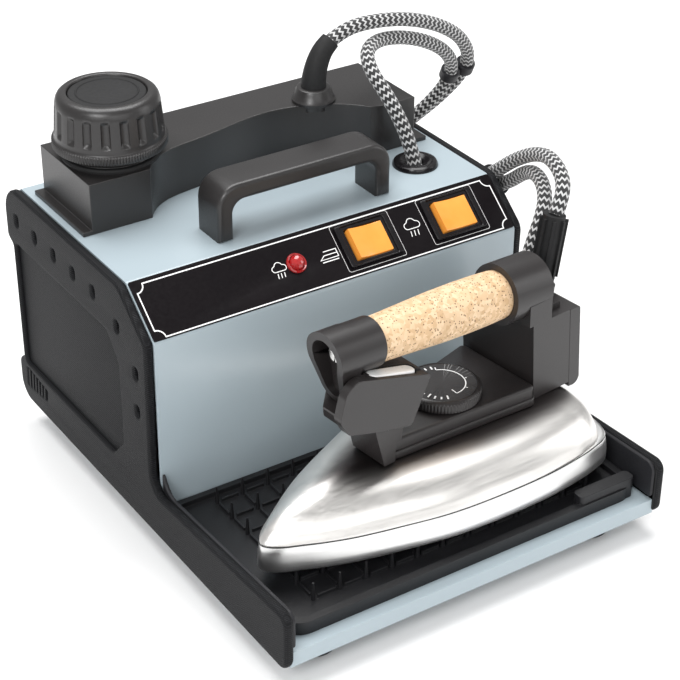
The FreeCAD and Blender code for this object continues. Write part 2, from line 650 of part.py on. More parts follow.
def soleplate():
    levels = [(0, 0.8, 0.8, 0.8), (1.2, 0, 0, 0), (SOLE_H - 1, 1.4, 1.4, 1.4), (SOLE_H, 2.2, 2.2, 2.2)]
    plate = Part.makeLoft([sole_wire(*level) for level in levels], True, True)
    well = Part.makeLoft([sole_wire(8.0, 22, 16, 22), sole_wire(SOLE_H + 1, 22, 16, 22)], True, True)
    holes = []
    for row, count in ((44, 1), (62, 2), (82, 3), (102, 3)):
        for i in range(count):
            v = (i - (count - 1) / 2) * 14
            holes.append(rod(V(row, v, -1), Z_DIR, 1.6, 12))
    return plate.cut(Part.makeCompound([well] + holes))


HULL_LEVELS = [(SOLE_H + 0.1, 1.8, 1.8, 8), (25.0, 8, 3.6, 9.5), (31.0, 17, 7.5, 11.5), (36.0, 30, 14, 14.5),
               (39.2, 47, 24, 18.5), (HULL_TOP, 66, 35, 25)]


def hull():
    outer = Part.makeLoft([sole_wire(*level) for level in HULL_LEVELS], True, False)
    inner_levels = [(z - 2.2, nose + 6, side + 3.0, heel + 3.0) for z, nose, side, heel in HULL_LEVELS]
    inner = Part.makeLoft([sole_wire(*level) for level in inner_levels], True, False)
    shell = outer.cut(inner)
    holes = [rod(V(DIAL_X, DIAL_Y, 30), Z_DIR, 3.6, 20), rod(V(106, 0, 30), Z_DIR, 2.3, 20),
             rod(V(204, 0, 30), Z_DIR, 2.3, 20)]
    return shell.cut(Part.makeCompound(holes))


def sole_heater():
    run = [V(206, -22, 11.5), V(150, -30, 11.5), V(92, -19, 11.5), V(50, 0, 11.5), V(92, 19, 11.5),
           V(150, 30, 11.5), V(206, 22, 11.5)]
    return bent_tube(run, 3.2, 0.4)[0]


def sole_thermostat():
    base = rod(V(DIAL_X, DIAL_Y, 8.1), Z_DIR, 8.6, 14)
    return fuse([base, box(DIAL_X + 6, DIAL_X + 20, DIAL_Y - 5, DIAL_Y + 5, SOLE_H, SOLE_H + 4)])


# ---- Iron: plinth, pod and grip ----------------------------------------------------------------
def plinth():
    low = HULL_TOP + 0.1
    plan = [(86, -10.5), (187.0, -21.5), (187.0, 40.0), (86, 20.0)]
    body = prism_z(plan, [6, 3, 3, 6], low, PLINTH_TOP)
    bores = [rod(V(DIAL_X, DIAL_Y, low - 1), Z_DIR, 3.1, 20), rod(V(106, 0, low - 1), Z_DIR, 2.05, 8)]
    return body.cut(Part.makeCompound(bores))


POD_SCREW = V(60.0, -9.0, 70.4)
POD_SCREW_AXIS = V(0.3, 0, 1)
POD_SIDE = [(45.5, 86), (47.5, 101), (54.5, 110), (103.5, 96), (96.5, 80), (91.5, 64.5), (88.5, 41.2),
            (78, 41.2), (70, 70), (50, 76.5)]
POD_RADII = [5, 7, 6, 2, 0, 3, 0, 0, 6, 7]
COVER_SIDE = [(40.5, 89), (44.5, 104), (52, 110.5), (105.5, 93.8), (92, 65.5), (70, 71.0), (46.5, 78.5)]
COVER_RADII = [6, 8, 8, 2, 3, 4, 7]


POD_FAR_CUT = [(30, 0), (45.5, 1.0), (66, 21), (66, 40), (30, 40)]


def front_pod():
    """Housing of the steam button, ahead of the plinth and under the grip's front."""
    body = prism_y(POD_SIDE, POD_RADII, -13.4, 13.4)
    cuts = [box(85.9, 110, -25, 25, HULL_TOP - 2, PLINTH_TOP + 0.1),
            rod(along_grip(-60), GRIP_DIR, 14.8, 80),
            box(40, 62.4, -12.9, 12.9, 87.4, 120),
            box(62, 94, -12, 12, 72, 88),
            button_shape(0.4, 3.2),
            prism_z(POD_FAR_CUT, 0, 60, 120),
            rod(POD_SCREW, POD_SCREW_AXIS, 1.6, 15)]
    return body.cut(Part.makeCompound(cuts))


def pod_plate(side):
    """Flush cover on one side of the pod."""
    low, high = sorted((side * 13.5, side * 19.5))
    cover = prism_y(COVER_SIDE, COVER_RADII, low, high)
    cuts = [rod(along_grip(-60), GRIP_DIR, 14.8, 80), button_shape(0.4, 3.2), prism_z(POD_FAR_CUT, 0, 60, 120)]
    return cover.cut(Part.makeCompound(cuts))


def pod_screw():
    return fuse([rod(POD_SCREW, POD_SCREW_AXIS, 2.6, 2.2), rod(POD_SCREW, POD_SCREW_AXIS, 1.5, 14)])


GRIP_DIR = (GRIP_REAR - GRIP_FRONT).normalize()


def along_grip(distance):
    return GRIP_FRONT + GRIP_DIR * distance


def cork_grip():
    length = GRIP_FRONT.distanceToPoint(GRIP_REAR)
    stations = [(0.0, 12.6), (0.12, 13.0), (0.4, 14.6), (0.75, 15.0), (1.0, 13.9)]
    wires = [Part.Wire(Part.makeCircle(r, along_grip(length * t), GRIP_DIR)) for t, r in stations]
    body = Part.makeLoft(wires, True, False)
    return body.cut(rod(along_grip(-5), GRIP_DIR, 3.3, length + 10))


def egg_prism(start, top_r, low_r, length):
    """Round above and narrower below, drawn out along the grip."""
    drop = 20.0
    low = start + V(0, 0, -drop)
    sides = [start + V(0, s * top_r * 0.98, -3 * top_r / 15) for s in (-1, 1)]
    feet_ = [low + V(0, s * low_r * 0.99, -1.2) for s in (1, -1)]
    web = Part.Face(Part.makePolygon(sides + feet_ + [sides[0]])).extrude(GRIP_DIR * length)
    return fuse([rod(start, GRIP_DIR, top_r, length), rod(low, GRIP_DIR, low_r, length), web])


def front_cap():
    """Front end of the grip: a round socket that runs down into an open oval nose."""
    barrel = rod(along_grip(-31), GRIP_DIR, 14.4, 33.3)
    nose = egg_prism(along_grip(-40), 14.8, 10.0, 25)
    whole = fuse([barrel, nose])
    slant = [(20, 140), (45.5, 140), (44.8, 128), (46.5, 113), (52.5, 93), (56, 80), (20, 80)]
    mouth = egg_prism(along_grip(-46), 10.2, 6.0, 28)
    cuts = [prism_y(slant, 0, -30, 30), mouth, rod(along_grip(-0.05), GRIP_DIR, 13.3, 5),
            rod(along_grip(-60), GRIP_DIR, 3.3, 70), box(30, 70, -20, 20, 70, 88), button_shape(0.5, 3.2)]
    return whole.cut(Part.makeCompound(cuts))


def rear_cap():
    length = GRIP_FRONT.distanceToPoint(GRIP_REAR)
    barrel = rod(along_grip(length - 4.5), GRIP_DIR, 18.3, 28.5)
    post = prism_y([(182.4, 92.1), (200.0, 92.1), (199.6, 106), (182.0, 106)], 0, -18.2, 18.2)
    socket = rod(along_grip(length - 6), GRIP_DIR, 14.6, 6.05)
    below = box(150, 260, -30, 30, 40, 92.1)
    whole = fuse([barrel, post]).cut(Part.makeCompound([socket, below]))
    return whole.cut(rod(along_grip(length - 8), GRIP_DIR, 3.3, 28))


def grip_rod():
    """Tie rod through the grip, with a slotted head in the front cap's mouth."""
    length = GRIP_FRONT.distanceToPoint(GRIP_REAR)
    shank = rod(along_grip(-18.2), GRIP_DIR, 3.0, length + 36)
    head = rod(along_grip(-22.2), GRIP_DIR, 4.8, 4.1)
    slot = box(-6, 6, -0.6, 0.6, -6, 6)
    slot.translate(along_grip(-22.2))
    return fuse([shank, head.cut(slot.common(rod(along_grip(-22.7), GRIP_DIR, 6, 1.7)))])


def rear_block():
    """Upright behind the grip, with a lower wing on the far side for the iron's lead."""
    low = HULL_TOP + 0.1
    side = [(189.5, low), (219.0, low), (215.4, 92.0), (185.6, 92.0)]
    upright = prism_y(side, 0, -18.0, 18.0)
    wing = prism_y([(189.5, low), (228.0, low), (226.0, 79.0), (186.6, 79.0)], [0, 3, 5, 2], 18.0, 41.0)
    ridge = box(202.0, 213.0, -12.0, 12.0, 91.0, 96.0)
    hollow = prism_y([(197, 48), (212, 48), (209, 86), (194, 86)], 0, -14.5, 14.5)
    entry = rod(LEAD_ENTRY + V(0, 0, -1), V(0.36, 0, 1), 6.4, 5.0)
    cuts = [hollow, rod(V(204, 0, HULL_TOP - 2), Z_DIR, 2.05, 12)]
    return fuse([upright, wing, entry, ridge]).cut(Part.makeCompound(cuts))


def rear_cover():
    """Back plate of the upright, with the hose's socket standing on its far side."""
    side = [(219.3, 37.5), (228.2, 37.0), (224.2, 91.5), (215.8, 91.5)]
    plate = prism_y(side, [0, 5, 2, 0], -18.0, 17.7)
    axis = (SLEEVE_TOP - SLEEVE_BASE).normalize()
    socket = rod(SLEEVE_BASE - axis * 17, axis, 8.3, 16.8)
    socket = socket.cut(box(190, 240, 17.7, 40, 60, 100)).cut(box(190, 217.6, -20, 40, 60, 91.4))
    wells = [rod(V(222.4, v, 60.0), V(1, 0, 0.07), 2.8, 8) for v in (-12, 12)]
    return fuse([plate, socket]).cut(Part.makeCompound(wells))


def rear_cover_screws():
    return [rod(V(222.6, v, 60.0), V(1, 0, 0.07), 2.6, 4.3) for v in (-12, 12)]


def handle_bolts():
    return [rod(V(x, 0, HULL_TOP - 8), Z_DIR, 2.0, 15) for x in (106, 204)]


# ---- Iron: button, switch, dial, sleeve -----------------------------------------------------
def button_shape(grow, sink):
    """Long rounded button lying along the pod's sloped top."""
    side = [(65.5 - grow, 106.6 + 3 * grow), (98.6 + grow, 97.5 + 3 * grow), (98.6 + grow, 88.5 - sink),
            (65.5 - grow, 97.6 - sink)]
    plan = [(65.5 - grow, -16.0 - grow), (98.6 + grow, -16.0 - grow), (98.6 + grow, -7.6 + grow),
            (65.5 - grow, -7.6 + grow)]
    radius = 4.0
    return prism_y(side, 0, -17, -6).common(prism_z(plan, radius, 80, 112))


def steam_button():
    return button_shape(0, 0)


def micro_switch():
    """Small switch that the button presses, standing on the pod's inner floor."""
    return fuse([box(70, 92, -11.5, -4.5, 72.1, 81), box(78, 82, -10, -6, 81, 83.6)])


def dial():
    """Knurled dial with the spindle that turns the thermostat."""
    c = V(DIAL_X, DIAL_Y, DIAL_Z)
    knob = turned([(0, 0), (DIAL_R, 0), (DIAL_R, 5.8), (DIAL_R - 1.6, 7.4), (0, 7.4)], c)
    notches = []
    for i in range(48):
        angle = math.radians(7.5 * i)
        at = V(c.x + DIAL_R * math.cos(angle), c.y + DIAL_R * math.sin(angle), c.z - 0.5)
        notches.append(rod(at, Z_DIR, 0.55, 6.0))
    spindle = rod(V(DIAL_X, DIAL_Y, 22.4), Z_DIR, 3.0, DIAL_Z + 1 - 22.4)
    return fuse([knob.cut(Part.makeCompound(notches)), spindle])


def hose_sleeve():
    """Ribbed strain relief that rises behind the rear cap."""
    axis = SLEEVE_TOP - SLEEVE_BASE
    length = axis.Length
    turn = FreeCAD.Rotation(Z_DIR, axis)
    body = Part.makeCone(7.0, 6.6, length)
    fins = []
    for i in range(8):
        fin = Part.makeBox(8.5, 1.6, length - 7, V(0, -0.8, 5))
        fin.rotate(V(0, 0, 0), Z_DIR, 45 * i)
        fins.append(fin)
    sleeve = fuse([body] + fins)
    sleeve.Placement = FreeCAD.Placement(SLEEVE_BASE, turn)
    return sleeve


# ---- Cords -------------------------------------------------------------------------------------
def bent_tube(points, radius, share=0.45):
    """Straight runs joined by tangent arcs, each as large as its two runs allow."""
    runs = [points[i].distanceToPoint(points[i + 1]) for i in range(len(points) - 1)]
    edges, arcs = [], []
    at = points[0]
    for i in range(1, len(points) - 1):
        back = (points[i - 1] - points[i]).normalize()
        ahead = (points[i + 1] - points[i]).normalize()
        turn = math.pi - back.getAngle(ahead)
        bend = share * min(runs[i - 1], runs[i]) / math.tan(turn / 2)
        reach = bend * math.tan(turn / 2)
        start = points[i] + back * reach
        end = points[i] + ahead * reach
        middle = points[i] + (back + ahead).normalize() * (bend / math.cos(turn / 2) - bend)
        edges.append(Part.LineSegment(at, start).toShape())
        edges.append(Part.Arc(start, middle, end).toShape())
        arcs.append(bend)
        at = end
    edges.append(Part.LineSegment(at, points[-1]).toShape())
    path = Part.Wire(edges)
    section = Part.Wire(Part.makeCircle(radius, points[0], points[1] - points[0]))
    solid = path.makePipeShell([section], True, False, 2)
    return solid, arcs, path.Length


# The steam hose rises from its boot, arches out to the right and drops behind the base.
HOSE_FROM_BOOT = [
    V(68, 102.5, 234), V(79, 103.5, 239), V(98, 105, 239.5), V(120, 106, 236.5), V(141, 109, 230),
    V(162, 113, 220), V(182, 119, 206), V(196, 127, 187), V(197, 137, 169), V(186, 148, 150),
    V(170, 161, 131), V(153, 176, 107), V(136, 186, 79), V(119, 189, 51), V(98, 185, 26), V(72, 179, 10),
    V(46, 177, 6.5)]
# The iron's lead leaves its grommet, loops over the cover and joins the hose.
LEAD_FROM_GROMMET = [
    V(95, 46.5, 165), V(93.5, 50, 178), V(90, 56, 193), V(86, 66, 208), V(83.5, 80, 219), V(89, 94, 226),
    V(105, 104, 226.5), V(127, 110, 221.5), V(150, 115, 212), V(170, 121, 199), V(184, 129, 183),
    V(184.5, 136.5, 165.5), V(173.2, 145.8, 146.5), V(156.8, 159.5, 126.5), V(140.8, 173, 103.5),
    V(125, 183.3, 81), V(107, 187, 58), V(86, 182, 36), V(66, 178, 27.5), V(46, 177, 26)]
# Both run from the coil round the rear right corner and up beside the base.
HOSE_TO_CLIP = [
    V(100.5, 233, 14), V(102, 214, 17), V(112, 198, 27), V(128, 185, 44), V(143, 166, 66), V(151, 141, 89),
    V(152, 112, 109), V(150, 84, 124), V(147, 57, 136), V(144, 39, 146.5), V(142, 28.8, 154.5)]
LEAD_TO_CLIP = [
    V(100.5, 233, 33), V(105, 216, 36), V(119, 203, 46), V(138, 190, 60), V(154, 167, 75), V(161, 139, 90),
    V(161.5, 106, 104), V(158.5, 78, 118), V(155, 54, 130), V(149.3, 36.6, 138.9), V(146, 22, 149.2)]
# Past the second clip each arches over to the rear of the iron and moves with it.
HOSE_TO_IRON = [
    V(141.94, 28.49, 154.74), V(140.03, 18.76, 162.37), V(140, 4, 175), V(139, -14, 186.5),
    V(136.5, -30, 192.5), V(132, -45, 193), V(128, -56, 189), V(121.5, -63.5, 183), V(115.2, -66.2, 174.5)]
LEAD_TO_IRON = [
    V(145.96, 21.67, 149.42), V(144.53, 10.98, 156.72), V(142.8, -1, 167), V(140, -14, 174.3),
    V(134, -30, 176), V(126.5, -43, 172), V(118, -50, 164), V(112, -52.2, 154), V(107, -53.2, 142),
    V(102.3, -54.0, 130), V(98.0, -54.6, 119.9)]
CLIPS = [(V(196.5, 132, 178), V(185, 133.5, 174.5), V(1.5, 9.5, -17.5)),
         (V(143.0, 33.9, 150.5), V(146.8, 28.0, 145.1), V(-1.8, -11.1, 8.1))]


def cord(name, points):
    solid, arcs, length = bent_tube(points, CORD_D / 2)
    ideal = math.pi * (CORD_D / 2) ** 2 * length
    print("%-18s length %.0f  smallest radius %.0f  volume ratio %.4f  radii %s"
          % (name, length, min(arcs), solid.Volume / ideal, [round(a) for a in arcs]))
    add(name, solid)


def coil(z0):
    """Outer shape of a cord's put-away turns."""
    return tube(V(COIL_X, COIL_Y, z0), Z_DIR, COIL_OUTER_R, COIL_INNER_R, COIL_H)


def clip(first, second, along, length):
    """Two loops joined side by side, one round each cord."""
    axis = V(along).normalize()
    loops, bores = [], []
    for at in (first, second):
        start = at - axis * (length / 2)
        loops.append(rod(start, axis, CLIP_R, length))
        bores.append(rod(start - axis, axis, CORD_D / 2 + 0.1, length + 2))
    return fuse(loops).cut(Part.makeCompound(bores))


# ---- Assembly --------------------------------------------------------------------------------
def to_base(shape):
    """Moves a piece of the iron from its own frame to where the iron rests."""
    placed = shape.copy()
    placed.rotate(V(0, 0, 0), Z_DIR, IRON_YAW)
    placed.translate(IRON_TIP)
    return placed


def build_base():
    right = side_panel()
    screws = panel_screws()
    add("casing_shell", casing())
    add("floor_plate", floor_plate())
    add_group("rubber_feet", feet())
    add("side_panel_right", right)
    add("side_panel_left", mirrored(right))
    add_group("arm_liners", [arm_liner(), mirrored(arm_liner())])
    add_group("base_screws", foot_screws() + handle_screws() + screws + [mirrored(s) for s in screws])
    add("rest_mat", rest_mat())
    add_group("mat_pins", mat_pins())
    add("control_strip", control_strip())
    add_group("switch_bodies", [switch_body(x) for x in SWITCHES.values()])
    for name, x in SWITCHES.items():
        add("rocker_" + name, rocker(x))
    add("lamp_lens", lamp_lens())
    add("carry_handle", carry_handle())
    add("top_cover", top_cover())
    add("filler_neck", filler_neck())
    add("filler_cap", cap_shell())
    add("cap_disc", cap_disc())
    add("cap_core", cap_core())
    add("cap_seal", cap_seal())
    add("boot_ring", boot_ring())
    add("boot_sleeve", boot_sleeve())
    add("lead_grommet", grommet())


def build_inside():
    add("boiler_body", boiler_body())
    add("boiler_lid", boiler_lid())
    add("boiler_heater", heater_element())
    add_group("boiler_brackets", [boiler_bracket(-90), boiler_bracket(14)])
    add_group("boiler_controls", [pressure_switch(), safety_cutout()])
    add("steam_valve", solenoid_valve())
    add("steam_pipe", steam_pipe())
    add("terminal_block", terminal_block())
    add("mains_gland", mains_gland())


def build_iron():
    pieces = {
        "iron_soleplate": soleplate(), "iron_hull": hull(), "iron_heater": sole_heater(),
        "iron_thermostat": sole_thermostat(), "iron_plinth": plinth(), "iron_pod": front_pod(),
        "iron_grip": cork_grip(), "iron_front_cap": front_cap(), "iron_rear_cap": rear_cap(),
        "iron_grip_rod": grip_rod(), "iron_rear_block": rear_block(), "iron_rear_cover": rear_cover(),
        "iron_button": steam_button(), "iron_micro_switch": micro_switch(), "iron_dial": dial(),
        "iron_hose_sleeve": hose_sleeve()}
    for name, shape in pieces.items():
        add(name, to_base(shape))
    add_group("iron_pod_plates", [to_base(pod_plate(side)) for side in (-1, 1)])
    bolts = handle_bolts() + rear_cover_screws() + [pod_screw()]
    add_group("iron_screws", [to_base(bolt) for bolt in bolts])


def build_cords():
    cord("hose_from_boot", HOSE_FROM_BOOT)
    cord("lead_from_grommet", LEAD_FROM_GROMMET)
    cord("hose_to_clip", HOSE_TO_CLIP)
    cord("lead_to_clip", LEAD_TO_CLIP)
    cord("hose_to_iron", HOSE_TO_IRON)
    cord("lead_to_iron", LEAD_TO_IRON)
    add("hose_coil", coil(0.3))
    add("lead_coil", coil(0.3 + COIL_H + 0.2))
    add_group("hose_clips", [clip(*where, 8.0) for where in CLIPS])


def main():
    os.makedirs("parts", exist_ok=True)
    build_base()
    build_inside()
    build_iron()
    build_cords()
    for name, shape in PARTS.items():
        shape.exportStep("parts/%s.step" % name)
        size = shape.BoundBox
        print("%-20s solids %2d valid %s volume %9.0f  x %.0f..%.0f y %.0f..%.0f z %.0f..%.0f"
              % (name, len(shape.Solids), shape.isValid(), shape.Volume, size.XMin, size.XMax,
                 size.YMin, size.YMax, size.ZMin, size.ZMax))


main()
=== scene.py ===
import math

import bmesh
import bpy
from mathutils import Matrix, Vector


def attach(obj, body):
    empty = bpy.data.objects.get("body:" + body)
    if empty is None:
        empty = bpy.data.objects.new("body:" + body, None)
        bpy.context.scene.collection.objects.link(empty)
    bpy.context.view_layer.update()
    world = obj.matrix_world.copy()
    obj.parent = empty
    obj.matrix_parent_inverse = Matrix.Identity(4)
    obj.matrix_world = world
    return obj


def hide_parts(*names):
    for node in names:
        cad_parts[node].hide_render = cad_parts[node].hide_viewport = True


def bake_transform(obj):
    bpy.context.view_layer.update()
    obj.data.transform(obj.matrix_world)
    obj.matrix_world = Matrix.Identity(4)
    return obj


# Looks of a steam generator iron.  Shapes are worked out in millimetres in the CAD
# model's frame and scaled to metres as each mesh is made.

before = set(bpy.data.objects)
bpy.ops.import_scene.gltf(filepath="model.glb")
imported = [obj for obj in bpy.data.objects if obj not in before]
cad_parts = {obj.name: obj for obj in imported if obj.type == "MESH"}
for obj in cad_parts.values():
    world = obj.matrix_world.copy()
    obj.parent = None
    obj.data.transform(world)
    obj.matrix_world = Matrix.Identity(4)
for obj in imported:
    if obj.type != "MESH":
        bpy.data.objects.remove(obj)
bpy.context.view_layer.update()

MM = 0.001                                     # metres in a millimetre

# The control strip slopes: its own frame has +X to the right, +Y up the slope and +Z out of it.
STRIP_TOP = Vector((0, 12.5, 166.0))           # middle of its upper edge
STRIP_RUN, STRIP_RISE = 30.2, 24.7
STRIP_UP = Vector((0, STRIP_RUN, STRIP_RISE)).normalized()
STRIP_OUT = Vector((0, -STRIP_RISE, STRIP_RUN)).normalized()
STRIP_LEN = math.hypot(STRIP_RUN, STRIP_RISE)
STRIP_FACE = 1.1                               # how far its face stands out
SWITCH_X = {"left": 26.4, "right": 88.0}
SWITCH_DOWN = 19.3                             # switches, lamp: down the slope from the upper edge
LAMP_X = -23.5

# Places on the base, and the three layers of a side panel.
FILLER = Vector((-85.0, 103.5, 0))
BOOT = Vector((56.0, 102.5, 198.0))
GROMMET = Vector((95.0, 46.5, 166.0))
PANEL_IN, PANEL_SKIN, PANEL_OUT = 125.3, 128.2, 131.0

# The iron, in its own frame: the ends and direction of its grip, its plan's size, and its dial.
GRIP_FRONT = Vector((75.0, 0, 116.6))
GRIP_REAR = Vector((176.0, 0, 109.9))
GRIP_DIR = (GRIP_REAR - GRIP_FRONT).normalized()
IRON_L, IRON_HALF_W = 232.0, 55.0
DIAL_X, DIAL_Y, DIAL_Z = 140.0, 7.8, 53.3

# The iron's own frame has +X from tip to heel and Z up from the sole; here it lies on its mat.
IRON = Matrix.Translation((-114.3, -109.0, 40.3)) @ Matrix.Rotation(math.radians(7), 4, "Z")
STRIP = Matrix(((1, 0, 0, 0), (0, STRIP_UP.y, STRIP_OUT.y, STRIP_TOP.y),
                (0, STRIP_UP.z, STRIP_OUT.z, STRIP_TOP.z), (0, 0, 0, 1)))


# ---- Node materials ---------------------------------------------------------------
class Tree:
    """Short ways to add and join shader nodes."""

    def __init__(self, name):
        self.material = bpy.data.materials.new(name)
        self.material.use_nodes = True
        self.nodes = self.material.node_tree.nodes
        self.links = self.material.node_tree.links
        self.shader = self.nodes["Principled BSDF"]

    def put(self, socket, value):
        if isinstance(value, bpy.types.NodeSocket):
            self.links.new(value, socket)
        else:
            socket.default_value = value

    def node(self, kind, settings=None, **inputs):
        node = self.nodes.new(kind)
        for key, value in (settings or {}).items():
            setattr(node, key, value)
        for key, value in inputs.items():
            self.put(node.inputs[key.replace("_", " ")], value)
        return node

    def math(self, operation, a, b=0.0):
        node = self.nodes.new("ShaderNodeMath")
        node.operation = operation
        self.put(node.inputs[0], a)
        self.put(node.inputs[1], b)
        return node.outputs[0]

    def mix(self, share, a, b):
        node = self.nodes.new("ShaderNodeMix")
        node.data_type = "RGBA"
        self.put(node.inputs[0], share)
        self.put(node.inputs[6], a)
        self.put(node.inputs[7], b)
        return node.outputs[2]

    def ramp(self, value, low, high, a=0.0, b=1.0):
        node = self.nodes.new("ShaderNodeMapRange")
        node.interpolation_type = "SMOOTHSTEP"
        for i, item in enumerate((value, low, high, a, b)):
            self.put(node.inputs[i], item)
        return node.outputs[0]

    def place(self, scale=(1, 1, 1), turn=(0, 0, 0)):
        coords = self.nodes.new("ShaderNodeTexCoord").outputs["Object"]
        node = self.node("ShaderNodeMapping", Vector=coords)
        node.inputs["Scale"].default_value = scale
        node.inputs["Rotation"].default_value = turn
        return node.outputs[0]

    def noise(self, scale, detail=3.0, where=None):
        node = self.node("ShaderNodeTexNoise", Scale=scale, Detail=detail, Vector=where or self.place())
        return node.outputs[0]

    def bump(self, height, strength, distance):
        node = self.node("ShaderNodeBump", Height=height, Strength=strength, Distance=distance)
        self.put(self.shader.inputs["Normal"], node.outputs[0])

    def finish(self, **inputs):
        for key, value in inputs.items():
            self.put(self.shader.inputs[key.replace("_", " ")], value)
        return self.material


def rgb(r, g, b):
    return (r, g, b, 1.0)


def darker(colour, share):
    """A colour with each part scaled down."""
    return rgb(*(c * share for c in colour))


def plastic(name, dark, light, rough, grain=900.0, relief=0.25, shine=0.35):
    """Moulded plastic: fine spark grain and faint mottling."""
    t = Tree(name)
    mottle = t.noise(35.0, 4.0)
    fine = t.noise(grain, 2.0)
    t.bump(fine, relief, 0.0002)
    colour = t.mix(mottle, rgb(*dark), rgb(*light))
    return t.finish(Base_Color=colour, Roughness=t.ramp(fine, 0.2, 0.8, rough - 0.06, rough + 0.08),
                    Specular_IOR_Level=shine)


def woven(name):
    """Black plastic with a fine diagonal weave moulded into it."""
    t = Tree(name)
    where = t.place((1, 1, 1), (math.radians(45), 0, 0))
    waves = []
    for direction in ("Y", "Z"):
        wave = t.node("ShaderNodeTexWave", {"bands_direction": direction}, Vector=where, Scale=330.0,
                      Distortion=0.0)
        waves.append(wave.outputs["Fac"])
    height = t.math("MULTIPLY", waves[0], waves[1])
    t.bump(height, 0.6, 0.0004)
    # The colour darkens in the weave's low parts: painted shade in its grooves.
    colour = t.mix(height, rgb(0.003, 0.003, 0.004), rgb(0.013, 0.014, 0.016))
    return t.finish(Base_Color=colour, Roughness=t.ramp(height, 0.0, 1.0, 0.62, 0.46),
                    Specular_IOR_Level=0.2)


def painted(name):
    """Smooth enamel with a faint orange peel."""
    t = Tree(name)
    cloud = t.noise(9.0, 2.0)
    peel = t.noise(420.0, 1.0)
    t.bump(peel, 0.04, 0.0002)
    colour = t.mix(cloud, rgb(0.355, 0.425, 0.465), rgb(0.385, 0.455, 0.490))
    return t.finish(Base_Color=colour, Roughness=0.34, Coat_Weight=0.25, Coat_Roughness=0.15)


def steel(name, colour, rough, along, strength=0.06, painted_shade=None):
    """Metal with fine brush lines; along stretches them. Painted shade, when two heights are given, darkens
    it from the lower height to near black above the upper.
    """
    t = Tree(name)
    lines = t.noise(1.0, 5.0, t.place(along))
    smear = t.noise(22.0, 3.0)
    t.bump(lines, strength, 0.0001)
    tint = t.mix(t.ramp(smear, 0.3, 0.7), darker(colour, 0.86), rgb(*colour))
    # Painted shade: above the given heights the colour turns to a near black.
    if painted_shade:
        height = t.node("ShaderNodeSeparateXYZ", Vector=t.place()).outputs[2]
        tint = t.mix(t.ramp(height, *painted_shade), tint, rgb(0.07, 0.06, 0.06))
    return t.finish(Base_Color=tint, Metallic=1.0,
                    Roughness=t.ramp(lines, 0.2, 0.8, rough - 0.06, rough + 0.08))


def metal(name, colour, rough):
    """Plain metal with slight marks from handling."""
    t = Tree(name)
    marks = t.noise(160.0, 4.0)
    t.bump(marks, 0.05, 0.0001)
    return t.finish(Base_Color=t.mix(marks, darker(colour, 0.8), rgb(*colour)), Metallic=1.0,
                    Roughness=t.ramp(marks, 0.3, 0.7, rough, rough + 0.12))


def cork(name):
    """Pressed cork: pale granules of several tints, dark specks and small pits."""
    t = Tree(name)
    where = t.place()
    grains = t.node("ShaderNodeTexVoronoi", Vector=where, Scale=420.0)
    tint = t.node("ShaderNodeSeparateColor", Color=grains.outputs["Color"]).outputs[0]
    base = t.mix(tint, rgb(0.56, 0.37, 0.205), rgb(0.80, 0.60, 0.40))
    wide = t.noise(60.0, 4.0, where)
    base = t.mix(t.ramp(wide, 0.35, 0.65, 0.0, 0.30), base, rgb(0.70, 0.45, 0.235))
    specks = t.node("ShaderNodeTexVoronoi", Vector=where, Scale=760.0)
    pick = t.node("ShaderNodeSeparateColor", Color=specks.outputs["Color"]).outputs[1]
    near = t.ramp(specks.outputs["Distance"], 0.42, 0.26)
    dark = t.math("MULTIPLY", near, t.ramp(pick, 0.66, 0.72))
    colour = t.mix(t.math("MULTIPLY", dark, 0.85), base, rgb(0.12, 0.055, 0.022))
    height = t.math("SUBTRACT", t.math("MULTIPLY", tint, 0.3), dark)
    t.bump(height, 0.35, 0.0003)
    return t.finish(Base_Color=colour, Roughness=0.72)


def braid(name):
    """Black and white zigzag braid, laid out on the tube's own length and girth."""
    t = Tree(name)
    layout = t.node("ShaderNodeUVMap", {"uv_map": "braid"}).outputs[0]
    around, along = t.node("ShaderNodeSeparateXYZ", Vector=layout).outputs[:2]
    tooth = t.math("ABSOLUTE", t.math("SUBTRACT", t.math("FRACT", t.math("MULTIPLY", around, 9.0)), 0.5))
    shifted = t.math("ADD", along, t.math("MULTIPLY", tooth, 3.8))
    wave = t.math("ABSOLUTE", t.math("SUBTRACT", t.math("FRACT", t.math("DIVIDE", shifted, 4.4)), 0.5))
    white = t.ramp(wave, 0.30, 0.34)
    strand = t.math("ADD", t.math("SINE", t.math("MULTIPLY", shifted, 9.0)),
                    t.math("SINE", t.math("MULTIPLY", around, 226.0)))
    fuzz = t.noise(1400.0, 2.0)
    pale = t.mix(fuzz, rgb(0.42, 0.42, 0.42), rgb(0.68, 0.68, 0.68))
    t.bump(t.math("ADD", t.math("MULTIPLY", strand, 0.25), fuzz), 0.5, 0.0003)
    return t.finish(Base_Color=t.mix(white, rgb(0.012, 0.012, 0.013), pale), Roughness=0.75,
                    Sheen_Weight=0.3)


def lit_amber(name):
    """Translucent rocker lit from inside, its glow faintly mottled."""
    t = Tree(name)
    cloud = t.noise(60.0, 2.0)
    fine = t.noise(700.0, 1.0)
    t.bump(fine, 0.03, 0.0001)
    colour = t.mix(cloud, rgb(0.80, 0.27, 0.03), rgb(0.92, 0.38, 0.07))
    return t.finish(Base_Color=colour, Roughness=0.28, Emission_Color=colour, Emission_Strength=0.16,
                    Coat_Weight=0.5, Coat_Roughness=0.08)


def red_lens(name):
    """Deep red lamp glass, hardly lit."""
    t = Tree(name)
    cloud = t.noise(150.0, 2.0)
    colour = t.mix(cloud, rgb(0.25, 0.004, 0.006), rgb(0.50, 0.02, 0.02))
    return t.finish(Base_Color=colour, Roughness=0.12, Emission_Color=colour, Emission_Strength=0.02,
                    Coat_Weight=1.0)


